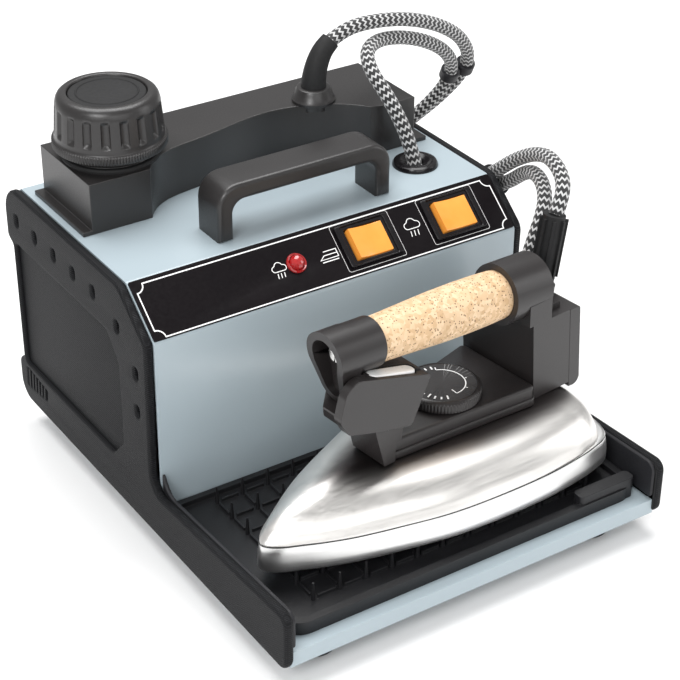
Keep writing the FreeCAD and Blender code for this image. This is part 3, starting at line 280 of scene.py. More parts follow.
def printed(name):
    """Opaque white printing ink."""
    t = Tree(name)
    fine = t.noise(900.0, 1.0)
    return t.finish(Base_Color=t.mix(fine, rgb(0.80, 0.80, 0.80), rgb(0.93, 0.93, 0.92)), Roughness=0.45)


def floor_finish(name):
    """Matt white studio floor."""
    t = Tree(name)
    soft = t.noise(3.0, 1.0)
    return t.finish(Base_Color=t.mix(soft, rgb(0.90, 0.90, 0.90), rgb(0.93, 0.93, 0.93)), Roughness=0.6)


PAINT = painted("painted_casing")
CASE_BLACK = plastic("case_black", (0.013, 0.013, 0.015), (0.020, 0.020, 0.023), 0.48, 900.0, 0.2, 0.3)
COVER_BLACK = plastic("cover_black", (0.013, 0.012, 0.012), (0.022, 0.020, 0.020), 0.34, 1100.0, 0.12, 0.6)
WEAVE = woven("panel_weave")
RUBBER = plastic("black_rubber", (0.010, 0.010, 0.010), (0.018, 0.018, 0.019), 0.60, 500.0, 0.25, 0.3)
MAT_RUBBER = plastic("mat_rubber", (0.008, 0.008, 0.009), (0.016, 0.016, 0.018), 0.38, 700.0, 0.2, 0.35)
GLOSS = plastic("gloss_black", (0.006, 0.005, 0.006), (0.009, 0.008, 0.009), 0.18, 300.0, 0.02, 0.35)
STRIP_BLACK = plastic("strip_black", (0.004, 0.003, 0.004), (0.007, 0.005, 0.006), 0.34, 500.0, 0.03, 0.15)
IRON_BLACK = plastic("iron_black", (0.014, 0.012, 0.012), (0.023, 0.020, 0.020), 0.34, 1300.0, 0.1, 0.55)
# The hull's top, round the plinth that sits on it, gets painted shade: near black from 76.8 mm up.
HULL = steel("hull_steel", (0.92, 0.90, 0.87), 0.36, (30, 900, 900), 0.03, (0.0768, 0.0808))
SOLE = steel("sole_aluminium", (0.95, 0.95, 0.94), 0.34, (20, 20, 900), 0.04)
PLATED = metal("plated_steel", (0.75, 0.75, 0.74), 0.22)
BRASS = metal("brass", (0.80, 0.58, 0.26), 0.25)
COPPER = metal("copper", (0.80, 0.42, 0.26), 0.25)
CAST = metal("cast_aluminium", (0.70, 0.70, 0.71), 0.40)
CORK = cork("cork")
BRAID = braid("zigzag_braid")
AMBER = lit_amber("lit_amber")
RED = red_lens("red_lens")
PRINT = printed("white_print")
WHITE = plastic("white_plastic", (0.78, 0.78, 0.77), (0.86, 0.86, 0.85), 0.32, 500.0, 0.05)


# ---- Mesh helpers --------------------------------------------------------------------
def linked(name, data):
    """A new object in the scene."""
    item = bpy.data.objects.new(name, data)
    bpy.context.scene.collection.objects.link(item)
    return item


def piece(name, mesh, material, body, replaces=(), place=None, sharp=32.0):
    """Turns a mesh in millimetres into a piece that rides on a body."""
    mesh.transform(place or Matrix.Identity(4))
    mesh.transform(Matrix.Scale(MM, 4))
    work = bmesh.new()
    work.from_mesh(mesh)
    bmesh.ops.remove_doubles(work, verts=work.verts, dist=1e-6)
    bmesh.ops.recalc_face_normals(work, faces=work.faces)
    work.to_mesh(mesh)
    work.free()
    mesh.shade_smooth()
    mesh.set_sharp_from_angle(angle=math.radians(sharp))
    mesh.materials.clear()
    mesh.materials.append(material)
    item = linked(name, mesh)
    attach(item, body)
    if replaces:
        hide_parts(*replaces)
    return item


def carved(name, node, material, body, width=0.6, angle=28.0):
    """A softened copy of a CAD node: edges sharper than the angle get a real bevel."""
    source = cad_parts[node]
    work = bmesh.new()
    work.from_mesh(source.data)
    work.transform(source.matrix_world)
    bmesh.ops.remove_doubles(work, verts=work.verts, dist=2e-6)
    bmesh.ops.dissolve_limit(work, angle_limit=math.radians(0.5), verts=work.verts, edges=work.edges)
    mesh = bpy.data.meshes.new("shape")
    work.to_mesh(mesh)
    work.free()
    holder = linked("shape", mesh)
    bevel = holder.modifiers.new("bevel", "BEVEL")
    bevel.width = width * MM
    bevel.segments = 3
    bevel.limit_method = "ANGLE"
    bevel.angle_limit = math.radians(angle)
    weight = holder.modifiers.new("weight", "WEIGHTED_NORMAL")
    weight.keep_sharp = True
    mesh.shade_smooth()
    mesh.set_sharp_from_angle(angle=math.radians(60))
    bpy.context.view_layer.update()
    shape = bpy.data.meshes.new_from_object(holder.evaluated_get(bpy.context.evaluated_depsgraph_get()))
    bpy.data.objects.remove(holder)
    shape.materials.clear()
    shape.materials.append(material)
    item = linked(name, shape)
    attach(item, body)
    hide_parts(node)
    return item


def mesh_from(verts, faces):
    """A mesh from plain lists."""
    mesh = bpy.data.meshes.new("shape")
    mesh.from_pydata([tuple(v) for v in verts], [], faces)
    return mesh


def joined(meshes):
    """Several meshes as one."""
    work = bmesh.new()
    for mesh in meshes:
        work.from_mesh(mesh)
        bpy.data.meshes.remove(mesh)
    mesh = bpy.data.meshes.new("shape")
    work.to_mesh(mesh)
    work.free()
    return mesh


def rounded(points, radii, steps=6):
    """A flat outline whose corners are arcs of the given radii."""
    outline = []
    count = len(points)
    for i, corner in enumerate(points):
        radius = radii[i] if isinstance(radii, (list, tuple)) else radii
        here = Vector(corner)
        back = Vector(points[i - 1]) - here
        ahead = Vector(points[(i + 1) % count]) - here
        if radius <= 0:
            outline.append(here)
            continue
        half = back.angle(ahead) / 2
        reach = min(radius / math.tan(half), 0.49 * back.length, 0.49 * ahead.length)
        back.normalize()
        ahead.normalize()
        radius = reach * math.tan(half)
        centre = here + (back + ahead).normalized() * (radius / math.sin(half))
        start, end = here + back * reach - centre, here + ahead * reach - centre
        turn = start.angle_signed(end)
        for k in range(steps + 1):
            angle = -turn * k / steps
            spoke = Vector((start.x * math.cos(angle) - start.y * math.sin(angle),
                            start.x * math.sin(angle) + start.y * math.cos(angle)))
            outline.append(centre + spoke)
    return outline


def smooth_loop(points, steps=6, closed=True):
    """A smooth curve through points, as more points."""
    count = len(points)
    result = []
    for i in range(count if closed else count - 1):
        a, b, c, d = (Vector(points[(i + k) % count]) if closed else
                      Vector(points[min(max(i + k, 0), count - 1)]) for k in (-1, 0, 1, 2))
        for k in range(steps):
            t = k / steps
            result.append(0.5 * ((2 * b) + (c - a) * t + (2 * a - 5 * b + 4 * c - d) * t * t
                                 + (3 * b - a - 3 * c + d) * t ** 3))
    if not closed:
        result.append(Vector(points[-1]))
    return result


def inset(points, distance):
    """A closed outline moved inwards."""
    count = len(points)
    area = sum(points[i - 1].x * points[i].y - points[i].x * points[i - 1].y for i in range(count))
    side = 1 if area > 0 else -1
    moved = []
    for i, here in enumerate(points):
        along = points[(i + 1) % count] - points[i - 1]
        if along.length < 1e-9:
            moved.append(here.copy())
            continue
        along.normalize()
        moved.append(here + Vector((-along.y, along.x)) * side * distance)
    return moved


def plate(outline, holes, low, high, bevel, axis="z", resolution=3):
    """A slab of any outline with holes and rounded rims, drawn out along one axis."""
    curve = bpy.data.curves.new("outline", "CURVE")
    curve.dimensions = "2D"
    curve.fill_mode = "BOTH"
    curve.extrude = (high - low) / 2 - bevel
    curve.bevel_depth = bevel
    curve.bevel_resolution = resolution
    curve.offset = -bevel
    for loop in [outline] + list(holes):
        spline = curve.splines.new("POLY")
        spline.points.add(len(loop) - 1)
        for point, at in zip(spline.points, loop):
            point.co = (at[0], at[1], 0, 1)
        spline.use_cyclic_u = True
    holder = bpy.data.objects.new("outline", curve)
    mesh = bpy.data.meshes.new_from_object(holder)
    bpy.data.objects.remove(holder)
    bpy.data.curves.remove(curve)
    mid = (low + high) / 2
    turn = {"x": Matrix(((0, 0, 1, mid), (1, 0, 0, 0), (0, 1, 0, 0), (0, 0, 0, 1))),
            "y": Matrix(((1, 0, 0, 0), (0, 0, 1, mid), (0, 1, 0, 0), (0, 0, 0, 1))),
            "z": Matrix.Translation((0, 0, mid))}[axis]
    mesh.transform(turn)
    return mesh


def loft(rings, close_start=True, close_end=True):
    """Skin through rings of equal point counts."""
    count = len(rings[0])
    verts = [p for ring in rings for p in ring]
    faces = []
    for r in range(len(rings) - 1):
        for i in range(count):
            j = (i + 1) % count
            faces.append((r * count + i, r * count + j, (r + 1) * count + j, (r + 1) * count + i))
    if close_start:
        faces.append(tuple(range(count)))
    if close_end:
        faces.append(tuple(range((len(rings) - 1) * count, len(rings) * count)))
    return mesh_from(verts, faces)


def lathe(profile, segments=72, wave=None, close=True):
    """Turned shape about Z; wave(radius, height, angle) may change the radius."""
    rings = []
    for radius, height in profile:
        ring = []
        for i in range(segments):
            angle = 2 * math.pi * i / segments
            r = wave(radius, height, angle) if wave else radius
            ring.append(Vector((r * math.cos(angle), r * math.sin(angle), height)))
        rings.append(ring)
    return loft(rings, close, close)


def aim(start, direction):
    """Moves a shape standing on the origin along Z to start, pointing along direction."""
    turn = Vector(direction).to_track_quat("Z", "Y").to_matrix().to_4x4()
    return Matrix.Translation(start) @ turn


def box(x, y, half_w, half_h, radius=0.0, steps=5):
    """Upright box outline about its middle, with rounded corners."""
    return rounded([(x - half_w, y - half_h), (x + half_w, y - half_h), (x + half_w, y + half_h),
                    (x - half_w, y + half_h)], radius, steps)


def ribbon(points, width, closed, height, thick=0.12):
    """A thin printed line of constant width along a flat path."""
    path = [Vector(p) for p in points]
    count = len(path)
    verts, faces = [], []
    for i, here in enumerate(path):
        before = path[i - 1] if closed or i > 0 else here
        after = path[(i + 1) % count] if closed or i < count - 1 else here
        a = (here - before if (here - before).length > 1e-9 else after - here).normalized()
        b = (after - here).normalized() if (after - here).length > 1e-9 else a
        normal = Vector((-(a + b).y, (a + b).x)).normalized()
        share = max(0.5, normal.dot(Vector((-a.y, a.x))))
        reach = normal * (width / 2 / share)
        verts += [(*(here + reach), height + thick), (*(here - reach), height + thick)]
    for i in range(count if closed else count - 1):
        j = (i + 1) % count
        faces.append((2 * i, 2 * i + 1, 2 * j + 1, 2 * j))
    return mesh_from(verts, faces)


def arc(x, y, radius, start, end, steps=16):
    """Points of an arc between two angles in degrees."""
    angles = [math.radians(start + (end - start) * k / steps) for k in range(steps + 1)]
    return [(x + radius * math.cos(angle), y + radius * math.sin(angle)) for angle in angles]


# ---- Base: panels, cover, handle ---------------------------------------------------------
PANEL_OUTLINE = [(-162, 13.5), (-162, 50.5), (-15, 42.5), (-17.9, 141.5), (12.4, 166.3), (162, 166.3),
                 (162, 130), (155, 126), (155, 45), (162, 41), (162, 13.5)]
PANEL_RADII = [7, 7, 12, 9, 13, 20, 5, 3, 3, 5, 18]
FIELD = [(151, 128.5), (30, 128.5), (17, 113), (17, 58), (31, 43), (151, 43)]
FIELD_RADII = [3, 8, 10, 10, 8, 3]
HOLE_HALF = (2.2, 3.8)
VENTS = 7
HOLES = [(146, 146.4), (120.6, 146.4), (95.2, 146.4), (69.8, 146.4), (44.4, 146.4), (15.9, 137.6),
         (-4.5, 117), (-4, 91.4)]


def panel_meshes():
    """The raised band with its screw holes and vents, the plain back, and the sunk field."""
    outline = rounded(PANEL_OUTLINE, PANEL_RADII, 8)
    field = rounded(FIELD, FIELD_RADII, 8)
    holes = [box(y, z, *HOLE_HALF, HOLE_HALF[0] * 0.98, 8) for y, z in HOLES]
    for i in range(VENTS):
        y, low, high = 150.5 - 4.3 * i, 26.0 + 0.4 * i, 38.5 - 0.5 * i
        holes.append(rounded([(y - 0.9, low), (y + 0.9, low), (y - 0.3, high), (y - 2.1, high)], 0.8, 4))
    band = plate(outline, [field] + holes, PANEL_IN, PANEL_OUT, 2.2, "x", 6)
    back = plate(inset(outline, 1.2), [], PANEL_IN, PANEL_IN + 1.2, 0.1, "x", 1)
    skin = plate(inset(field, -1.6), [], PANEL_IN, PANEL_SKIN, 0.1, "x", 1)
    return band, back, skin


def side_panels():
    """Right panel, and its mirror image on the left."""
    for side, sign in (("right", 1), ("left", -1)):
        band, back, skin = panel_meshes()
        mirror = Matrix.Scale(sign, 4, (1, 0, 0))
        piece("panel_rim_" + side, band, WEAVE, "base",
              ("side_panel_" + side,), mirror, 40)
        piece("panel_back_" + side, back, RUBBER, "base", (), mirror)
        piece("panel_field_" + side, skin, WEAVE, "base", (), mirror)


def top_cover():
    """Cover over the boiler, with the collar round the filler."""
    carved("cover_shell", "top_cover", COVER_BLACK, "base", 3.2)
    collar = lathe([(29.5, 197.8), (29.5, 199.2), (28.6, 200.2), (26.0, 200.6), (26.0, 204.2),
                    (17.4, 204.2), (17.4, 198)])
    piece("filler_collar", collar, RUBBER, "base", (), Matrix.Translation(FILLER))


HANDLE_FOOT = 166.0
HANDLE_OUT, HANDLE_TOP = 59.5, 201.0
HANDLE_IN, HANDLE_UNDER = 49.5, 190.5
HANDLE_FRONT, HANDLE_BACK = 21.8, 47.4


def carry_handle():
    """Square arch with rounded shoulders over the casing's top."""
    outer = rounded([(-HANDLE_OUT, HANDLE_FOOT), (-HANDLE_OUT, HANDLE_TOP), (HANDLE_OUT, HANDLE_TOP),
                     (HANDLE_OUT, HANDLE_FOOT)], [0, 14, 14, 0], 10)
    inner = rounded([(HANDLE_IN, HANDLE_FOOT), (HANDLE_IN, HANDLE_UNDER), (-HANDLE_IN, HANDLE_UNDER),
                     (-HANDLE_IN, HANDLE_FOOT)], [0, 8, 8, 0], 8)
    arch = plate(outer + inner, [], HANDLE_FRONT, HANDLE_BACK, 2.6, "y", 6)
    piece("handle_arch", arch, COVER_BLACK, "base", ("carry_handle",), None, 40)


# ---- Control strip ---------------------------------------------------------------------------
def strip_line(points, width, closed=False):
    """A line printed on the strip's face."""
    return ribbon(points, width, closed, STRIP_FACE)


def strip_border():
    """White line round the strip, with hollow quarter-round corners."""
    x, top, bottom, r = 121.8, -3.7, -37.2, 5.0
    path = (arc(x, top, r, 180, 270, 8) + arc(x, bottom, r, 90, 180, 8)
            + arc(-x, bottom, r, 0, 90, 8) + arc(-x, top, r, 270, 360, 8))
    return strip_line(path, 0.75, True)


def cloud_icon(x, y, size):
    """Small cloud with three short streams under it."""
    puff = (arc(x - 0.48 * size, y, 0.30 * size, 270, 95, 8)
            + arc(x, y + 0.22 * size, 0.42 * size, 160, 20, 10)
            + arc(x + 0.48 * size, y, 0.30 * size, 85, -90, 8))
    shapes = [strip_line(puff, 0.5, True)]
    for shift in (-0.36, 0.0, 0.36):
        stream = [(x + shift * size, y - 0.5 * size), (x + (shift - 0.1) * size, y - 1.0 * size)]
        shapes.append(strip_line(stream, 0.5))
    return shapes


def iron_icon():
    """Outline of a small iron over two feet."""
    x0, x1, y = -8.0, 4.2, -24.0
    body = [(x0, y + 1.6), (x1, y + 1.6), (x1, y + 4.0), (x0 + 3.2, y + 4.0)]
    grip = [(x0 + 3.6, y + 6.4), (x1, y + 6.4), (x1, y + 4.0)]
    base = [(x0 + 0.6, y), (x1 - 0.4, y)]
    return [strip_line(body, 0.55, True), strip_line(grip, 0.55), strip_line(base, 0.6)]


ROCKER_OUTLINE = [(-12.1, 2.0), (-12.1, 8.0), (-6, 7.0), (0, 6.6), (6, 7.0), (12.1, 8.0), (12.1, 2.0),
                  (3, -3), (-3, -3)]
ROCKER_HALF_H = 9.75
ROCKER_REST = 6                                # degrees it leans at rest


def switch_box(x, half_w, half_h, radius=0.0, steps=5):
    """A box round a switch, in the strip's frame."""
    return box(x, -SWITCH_DOWN, half_w, half_h, radius, steps)


def control_strip():
    """Black face with windows for the switches and the lamp, and everything printed on it."""
    end, top, bottom = 124.4, -0.8, 0.8 - STRIP_LEN
    outline = rounded([(-end, top), (-end, bottom), (end, bottom), (end, top)], 1.0)
    windows = [switch_box(x, 14.9, 12.1) for x in SWITCH_X.values()]
    lamp_hole = arc(LAMP_X, -SWITCH_DOWN, 4.9, 0, 345, 23)
    face = plate(outline, windows + [lamp_hole], 0.05, STRIP_FACE, 0.15)
    piece("strip_face", face, STRIP_BLACK, "base", ("control_strip",), STRIP)
    lines = [strip_border()] + iron_icon() + cloud_icon(-35.0, -19.2, 6.0) + cloud_icon(58.6, -18.0, 7.0)
    lines += [strip_line(switch_box(x, 20.3, 15.2, 1.5, 3), 0.25, True) for x in SWITCH_X.values()]
    piece("strip_print", joined(lines), PRINT, "base", (), STRIP)


def switches():
    """Frames, inner steps and floors of the two switches, and their lit rockers."""
    frames, ledges, wells = [], [], []
    for x in SWITCH_X.values():
        mouth = switch_box(x, 15.2, 12.3, 1.0)
        frames.append(plate(switch_box(x, 18.5, 13.5, 1.6), [mouth], STRIP_FACE, 3.4, 0.7))
        ledges.append(plate(mouth, [switch_box(x, 13.0, 10.3, 0.6)], -6.0, 2.6, 0.35))
        wells.append(plate(switch_box(x, 14.8, 12.0, 0.5), [], -17.0, -9.5, 0.2))
    piece("switch_frames", joined(frames), GLOSS, "base", ("switch_bodies",), STRIP)
    piece("switch_steps", joined(ledges), GLOSS, "base", (), STRIP)
    piece("switch_wells", joined(wells), GLOSS, "base", (), STRIP)
    for side, node in (("left", "rocker_iron"), ("right", "rocker_steam")):
        body = plate(ROCKER_OUTLINE, [], -ROCKER_HALF_H, ROCKER_HALF_H, 0.6, "y")
        tilt = (Matrix.Translation((SWITCH_X[side], -SWITCH_DOWN, -4.0))
                @ Matrix.Rotation(math.radians(ROCKER_REST), 4, "Y"))
        piece("rocker_cap_" + side, body, AMBER, "rocker_" + side, (node,),
              STRIP @ tilt, 25)


def lamp():
    """Pilot lamp: a ring and a faceted lens."""
    centre = Matrix.Translation((LAMP_X, -SWITCH_DOWN, 0))
    ring = lathe([(6.2, 1.1), (6.2, 2.2), (5.7, 2.9), (4.9, 2.6), (4.8, 1.2)], 48)
    piece("lamp_ring", ring, RED, "base", (), STRIP @ centre)
    lens = lathe([(4.7, -6), (4.7, 2.6), (4.3, 4.3), (3.0, 5.7), (1.2, 6.4)], 10)
    piece("lamp_jewel", lens, RED, "base", ("lamp_lens",), STRIP @ centre, 5)


# ---- Filler cap, boot and grommet --------------------------------------------------------------
FLUTES, FLUTE_DEPTH, FLUTE_LOW, FLUTE_HIGH, FLUTE_FADE = 18, 1.9, 214.0, 231.5, 2.5
KNURLS, KNURL_DEPTH, KNURL_LOW, KNURL_HIGH = 120, 0.35, 205.5, 210.4


def cap_wave(radius, height, angle):
    """Broad flutes in the body and a fine knurl round the skirt."""
    if FLUTE_LOW < height < FLUTE_HIGH and radius > 25:
        share = min(1.0, (height - FLUTE_LOW) / FLUTE_FADE, (FLUTE_HIGH - height) / FLUTE_FADE)
        return radius - FLUTE_DEPTH * share * max(0.0, math.cos(FLUTES * angle)) ** 0.6
    if KNURL_LOW < height < KNURL_HIGH and radius > 32:
        return radius + KNURL_DEPTH * math.cos(KNURLS * angle)
    return radius


def filler_cap():
    """Fluted shell with its hollow inside, and the disc with a raised ring let into its top."""
    profile = [(29.8, 206.0), (30.0, 205.0), (33.2, 205.0), (33.8, 205.6), (33.8, 209.8), (33.0, 210.4),
               (32.6, 210.8), (32.4, 212.0), (32.3, 213.9)]
    profile += [(32.3 - 0.055 * k, 214.0 + 0.7 * k) for k in range(26)]
    profile += [(30.7, 232.4), (30.2, 234.4), (29.2, 236.2), (27.6, 237.5), (25.8, 238.0), (24.0, 237.9),
                (23.5, 237.4), (23.4, 235.2)]
    skin = lathe(profile, 720, cap_wave, False)
    inside = lathe([(29.8, 206.0), (26.0, 212.0), (25.6, 231.0), (0.1, 231.3)], 72, None, False)
    piece("cap_shell", joined([skin, inside]), COVER_BLACK, "cap", ("filler_cap",),
          Matrix.Translation(FILLER), 50)
    disc = lathe([(22.9, 235.2), (22.9, 236.6), (22.3, 237.0), (0.1, 237.05)], 96)
    ring = lathe([(18.8, 237.0), (18.3, 237.5), (17.9, 237.5), (17.4, 237.0)], 96, None, False)
    piece("cap_inlay", joined([disc, ring]), RUBBER, "cap", ("cap_disc",),
          Matrix.Translation(FILLER))


BOOT_FOOT_R, BOOT_TIP_R = 8.2, 6.0


def hose_boot():
    """Flared ring with a neck in the cover's hole, and the rubber boot that leans out of it."""
    ring = lathe([(8.2, 2.0), (8.2, -4.5), (9.4, -4.6), (9.5, -0.2), (13.6, -0.2), (13.8, 1.6),
                  (12.6, 3.0), (11.4, 7.2), (10.6, 8.8), (9.4, 9.4), (7.2, 9.2)], 64)
    piece("boot_base", ring, COVER_BLACK, "base", ("boot_ring",),
          Matrix.Translation(BOOT))
    stations = smooth_loop([(56, 102.5, 205), (56.3, 102.5, 212), (58.5, 102.5, 221), (62.6, 102.5, 229),
                            (68.6, 102.6, 234.6)], 6, False)
    rings = []
    for i, here in enumerate(stations):
        ahead = (stations[min(i + 1, len(stations) - 1)] - stations[max(i - 1, 0)]).normalized()
        place = aim(here, ahead)
        radius = BOOT_FOOT_R - (BOOT_FOOT_R - BOOT_TIP_R) * i / (len(stations) - 1)
        rings.append([place @ Vector((radius * math.cos(a), radius * math.sin(a), 0))
                      for a in (2 * math.pi * k / 40 for k in range(40))])
    piece("boot_tube", loft(rings), RUBBER, "base", ("boot_sleeve",))


def lead_grommet():
    """Glossy ring where the iron's lead leaves the casing."""
    ring = lathe([(5.0, -3), (5.2, 1.2), (7.6, 2.0), (9.4, 3.2), (11.6, 3.4), (13.4, 2.6), (14.3, 1.0),
                  (14.3, 0.0), (9, 0.0), (9, -3)], 72)
    piece("grommet_ring", ring, GLOSS, "base", ("lead_grommet",),
          Matrix.Translation(GROMMET))


# ---- Iron ------------------------------------------------------------------------------------------
HALF_PLAN = [(0, 0), (2.4, 5.0), (8, 9.8), (17, 14.8), (28, 20.8), (42, 27.4), (56, 32.6), (70, 37.2),
             (100, 46.2), (132, 51.6), (169, 55.0), (198, 54.4), (211, 52.6), (218, 51.0), (224.8, 47.0),
             (229, 41.0), (231.4, 32.0), (232, 22.0), (232, 10.0), (232, 0)]


SWELL = 0.04                                   # how much the far side bellies out along its length


def plan_ring(height, nose, side, heel, steps=5):
    """The iron's plan at one height, drawn in at its nose, sides and heel."""
    stretch = (IRON_L - nose - heel) / IRON_L
    narrow = (IRON_HALF_W - side) / IRON_HALF_W
    left = [(nose + u * stretch, w * narrow + SWELL * u * min(1, 2 - 2 * u / IRON_L))
            for u, w in HALF_PLAN]
    right = [(nose + u * stretch, -w * narrow) for u, w in HALF_PLAN[-2:0:-1]]
    return [Vector((p.x, p.y, height)) for p in smooth_loop(left + right, steps)]


# Height, then how far the plan is drawn in at its nose, sides and heel.
HULL_LEVELS = [(17.1, 1.8, 1.8, 7.4), (18.0, 1.6, 1.6, 7.6), (21.0, 4.4, 2.3, 8.4), (25.0, 8.6, 3.6, 9.5),
               (31.0, 18.0, 7.5, 11.5), (35.6, 31.0, 13.6, 14.2), (38.8, 48.0, 23.5, 18.0),
               (40.5, 67.0, 36.0, 26.0), (40.9, 90.0, 47.0, 40.0)]


SOLE_LEVELS = [(0.0, 2.0, 2.0, 2.0), (0.3, 0.7, 0.7, 0.7), (1.2, 0, 0, 0), (6.0, 0.1, 0.1, 0.1),
               (12.0, 0.7, 0.7, 0.7), (15.4, 1.2, 1.2, 1.2), (16.6, 1.8, 1.8, 1.8), (16.9, 3.2, 3.2, 3.2)]
STEAM_HOLE_ROWS = ((44, 1), (62, 2), (82, 3), (102, 3))
STEAM_HOLE_PITCH = 14


def hull_and_sole():
    """Polished hull over the sole, the dark seam between them, and dark discs of painted shade for the steam
    holes.
    """
    levels = smooth_loop([Vector(level) for level in HULL_LEVELS], 6, False)
    hull = loft([plan_ring(*level) for level in levels])
    piece("hull_shell", hull, HULL, "iron", ("iron_hull",), IRON, 60)
    sole = loft([plan_ring(*level) for level in SOLE_LEVELS])
    # The steam holes are not cut: dark discs on the sole stand in for the shade inside them.
    holes = []
    for row, count in STEAM_HOLE_ROWS:
        for i in range(count):
            hole = lathe([(2.0, -0.02), (1.5, 0.3)], 16)
            hole.transform(Matrix.Translation((row, (i - (count - 1) / 2) * STEAM_HOLE_PITCH, -0.02)))
            holes.append(hole)
    piece("sole_band", sole, SOLE, "iron", ("iron_soleplate",), IRON, 50)
    seam = loft([plan_ring(16.5, 1.0, 1.0, 1.0), plan_ring(17.15, 1.2, 1.2, 1.2)], False, False)
    piece("hull_seam", seam, RUBBER, "iron", (), IRON)
    piece("steam_hole_shade_discs", joined(holes), RUBBER, "iron", (), IRON)


PLINTH_PLAN = [(86, -10.5), (187, -21.5), (187, 40), (86, 20)]


def plinth():
    """Stepped block between the hull and everything above it."""
    outline = rounded(PLINTH_PLAN, [5, 3, 3, 5], 6)
    body = plate(outline, [], 40.7, 53.0, 1.6, "z", 4)
    step = plate(inset(outline, -1.2), [], 40.4, 45.5, 0.9, "z", 3)
    piece("plinth_block", joined([body, step]), IRON_BLACK, "iron", ("iron_plinth",),
          IRON, 40)


def pod():
    """Front pod and the two plates on its sides."""
    carved("pod_body", "iron_pod", IRON_BLACK, "iron", 0.7)
    carved("pod_covers", "iron_pod_plates", IRON_BLACK, "iron", 2.2)


def steam_button():
    """White key that lies along the pod's sloping top."""
    slope = math.atan2(97.5 - 106.6, 98.6 - 65.5)
    outline = rounded([(0, -16.0), (34.3, -16.0), (34.3, -7.6), (0, -7.6)], 4.1, 8)
    body = plate(outline, [], -8.5, 0.0, 1.3, "z", 5)
    lean = Matrix.Translation((65.6, 0, 106.4)) @ Matrix.Rotation(-slope, 4, "Y")
    piece("steam_key", body, WHITE, "button", ("iron_button",), IRON @ lean)


def grip():
    """Cork roll between its two sockets."""
    place = IRON @ aim(GRIP_FRONT, GRIP_DIR)
    profile = [(9.0, 0.2), (12.3, 0.2), (12.7, 0.8), (12.9, 3.0), (13.4, 16.0), (14.2, 34.0), (14.9, 52.0),
               (15.1, 70.0), (14.9, 84.0), (14.4, 95.0), (13.9, 100.2), (13.4, 101.0), (9.0, 101.0)]
    piece("cork_roll", lathe(profile, 96), CORK, "iron", ("iron_grip",), place)
    carved("front_socket", "iron_front_cap", IRON_BLACK, "iron", 1.1)
    carved("rear_socket", "iron_rear_cap", IRON_BLACK, "iron", 0.9)
    carved("grip_screw", "iron_grip_rod", PLATED, "iron", 0.3)


def rear_upright():
    """Block that carries the grip's rear end, and its cover."""
    carved("upright_block", "iron_rear_block", IRON_BLACK, "iron", 0.9)
    carved("upright_cover", "iron_rear_cover", IRON_BLACK, "iron", 1.2)


def dial():
    """Knurled knob on its stem, with a printed arc and ticks."""
    def knurl(radius, height, angle):
        if radius > 22.2 and height < 5.9:
            return radius - 0.45 * max(0.0, math.cos(72 * angle))
        return radius

    profile = [(22.4, 0.2), (23.0, 0.5), (23.0, 5.4), (22.3, 5.9), (21.2, 7.1), (20.2, 7.3), (19.8, 6.9),
               (0.1, 6.9)]
    place = IRON @ Matrix.Translation((DIAL_X, DIAL_Y, DIAL_Z))
    knob = lathe(profile, 432, knurl)
    stem = lathe([(3.0, -30.6), (3.0, 0.4)], 32)
    piece("dial_knob", joined([knob, stem]), IRON_BLACK, "dial", ("iron_dial",), place, 45)
    top, line_r = 6.9, 13.6
    marks = [ribbon(arc(0, 0, line_r, -95, 62, 40), 0.7, False, top)]
    spokes = ((-95, 9.0, line_r), (62, line_r, 16.2), (-60, line_r, 15.4), (-20, line_r, 15.4))
    for angle, near, far in spokes:
        spoke = Vector((math.cos(math.radians(angle)), math.sin(math.radians(angle))))
        marks.append(ribbon([spoke * near, spoke * far], 0.7, False, top))
    for k in range(14):
        angle = math.radians(70 + 13 * k)
        inner = 14.6 + 0.8 * math.sin(2.3 * k)
        tick = [(r * math.cos(angle), r * math.sin(angle)) for r in (inner, 17.6)]
        marks.append(ribbon(tick, 1.0, False, top))
    piece("dial_print", joined(marks), PRINT, "dial", (), place)


# ---- Cords -----------------------------------------------------------------------------------------
# Each cord's route as listed points, in millimetres, before and after its coil.
HOSE_START = [(68, 102.5, 234), (79, 103.5, 239), (98, 105, 239.5), (120, 106, 236.5), (141, 109, 230),
              (162, 113, 220), (182, 119, 206), (196, 127, 187), (197, 137, 169), (186, 148, 150),
              (170, 161, 131), (153, 176, 107), (136, 186, 79), (119, 189, 51), (98, 185, 26), (72, 179, 10)]
HOSE_END = [(102, 214, 17), (112, 198, 27), (128, 185, 44), (143, 166, 66), (151, 141, 89), (152, 112, 109),
            (150, 84, 124), (147, 57, 136), (144, 39, 146.5), (142, 28.8, 154.5), (140.03, 18.76, 162.37),
            (140, 4, 175), (139, -14, 186.5), (136.5, -30, 192.5), (132, -45, 193), (128, -56, 189),
            (121.5, -63.5, 183), (115.2, -66.2, 174.5)]
LEAD_START = [(95, 46.5, 165), (93.5, 50, 178), (90, 56, 193), (86, 66, 208), (83.5, 80, 219), (89, 94, 226),
              (105, 104, 226.5), (127, 110, 221.5), (150, 115, 212), (170, 121, 199), (184, 129, 183),
              (184.5, 136.5, 165.5), (173.2, 145.8, 146.5), (156.8, 159.5, 126.5), (140.8, 173, 103.5),
              (125, 183.3, 81), (107, 187, 58), (86, 182, 36), (66, 178, 27.5)]
LEAD_END = [(105, 216, 36), (119, 203, 46), (138, 190, 60), (154, 167, 75), (161, 139, 90), (161.5, 106, 104),
            (158.5, 78, 118), (155, 54, 130), (149.3, 36.6, 138.9), (146, 22, 149.2), (144.53, 10.98, 156.72),
            (142.8, -1, 167), (140, -14, 174.3), (134, -30, 176), (126.5, -43, 172), (118, -50, 164),
            (112, -52.2, 154), (107, -53.2, 142), (102.3, -54.0, 130), (98.0, -54.6, 119.9)]
CORD_D = 9.0
COIL_CENTRE = Vector((45.0, 233.0))
COIL_RADII = (55.8, 46.2)
COIL_TURNS, COIL_LAYER = 3.75, 9.4
TURN_POINTS = 16


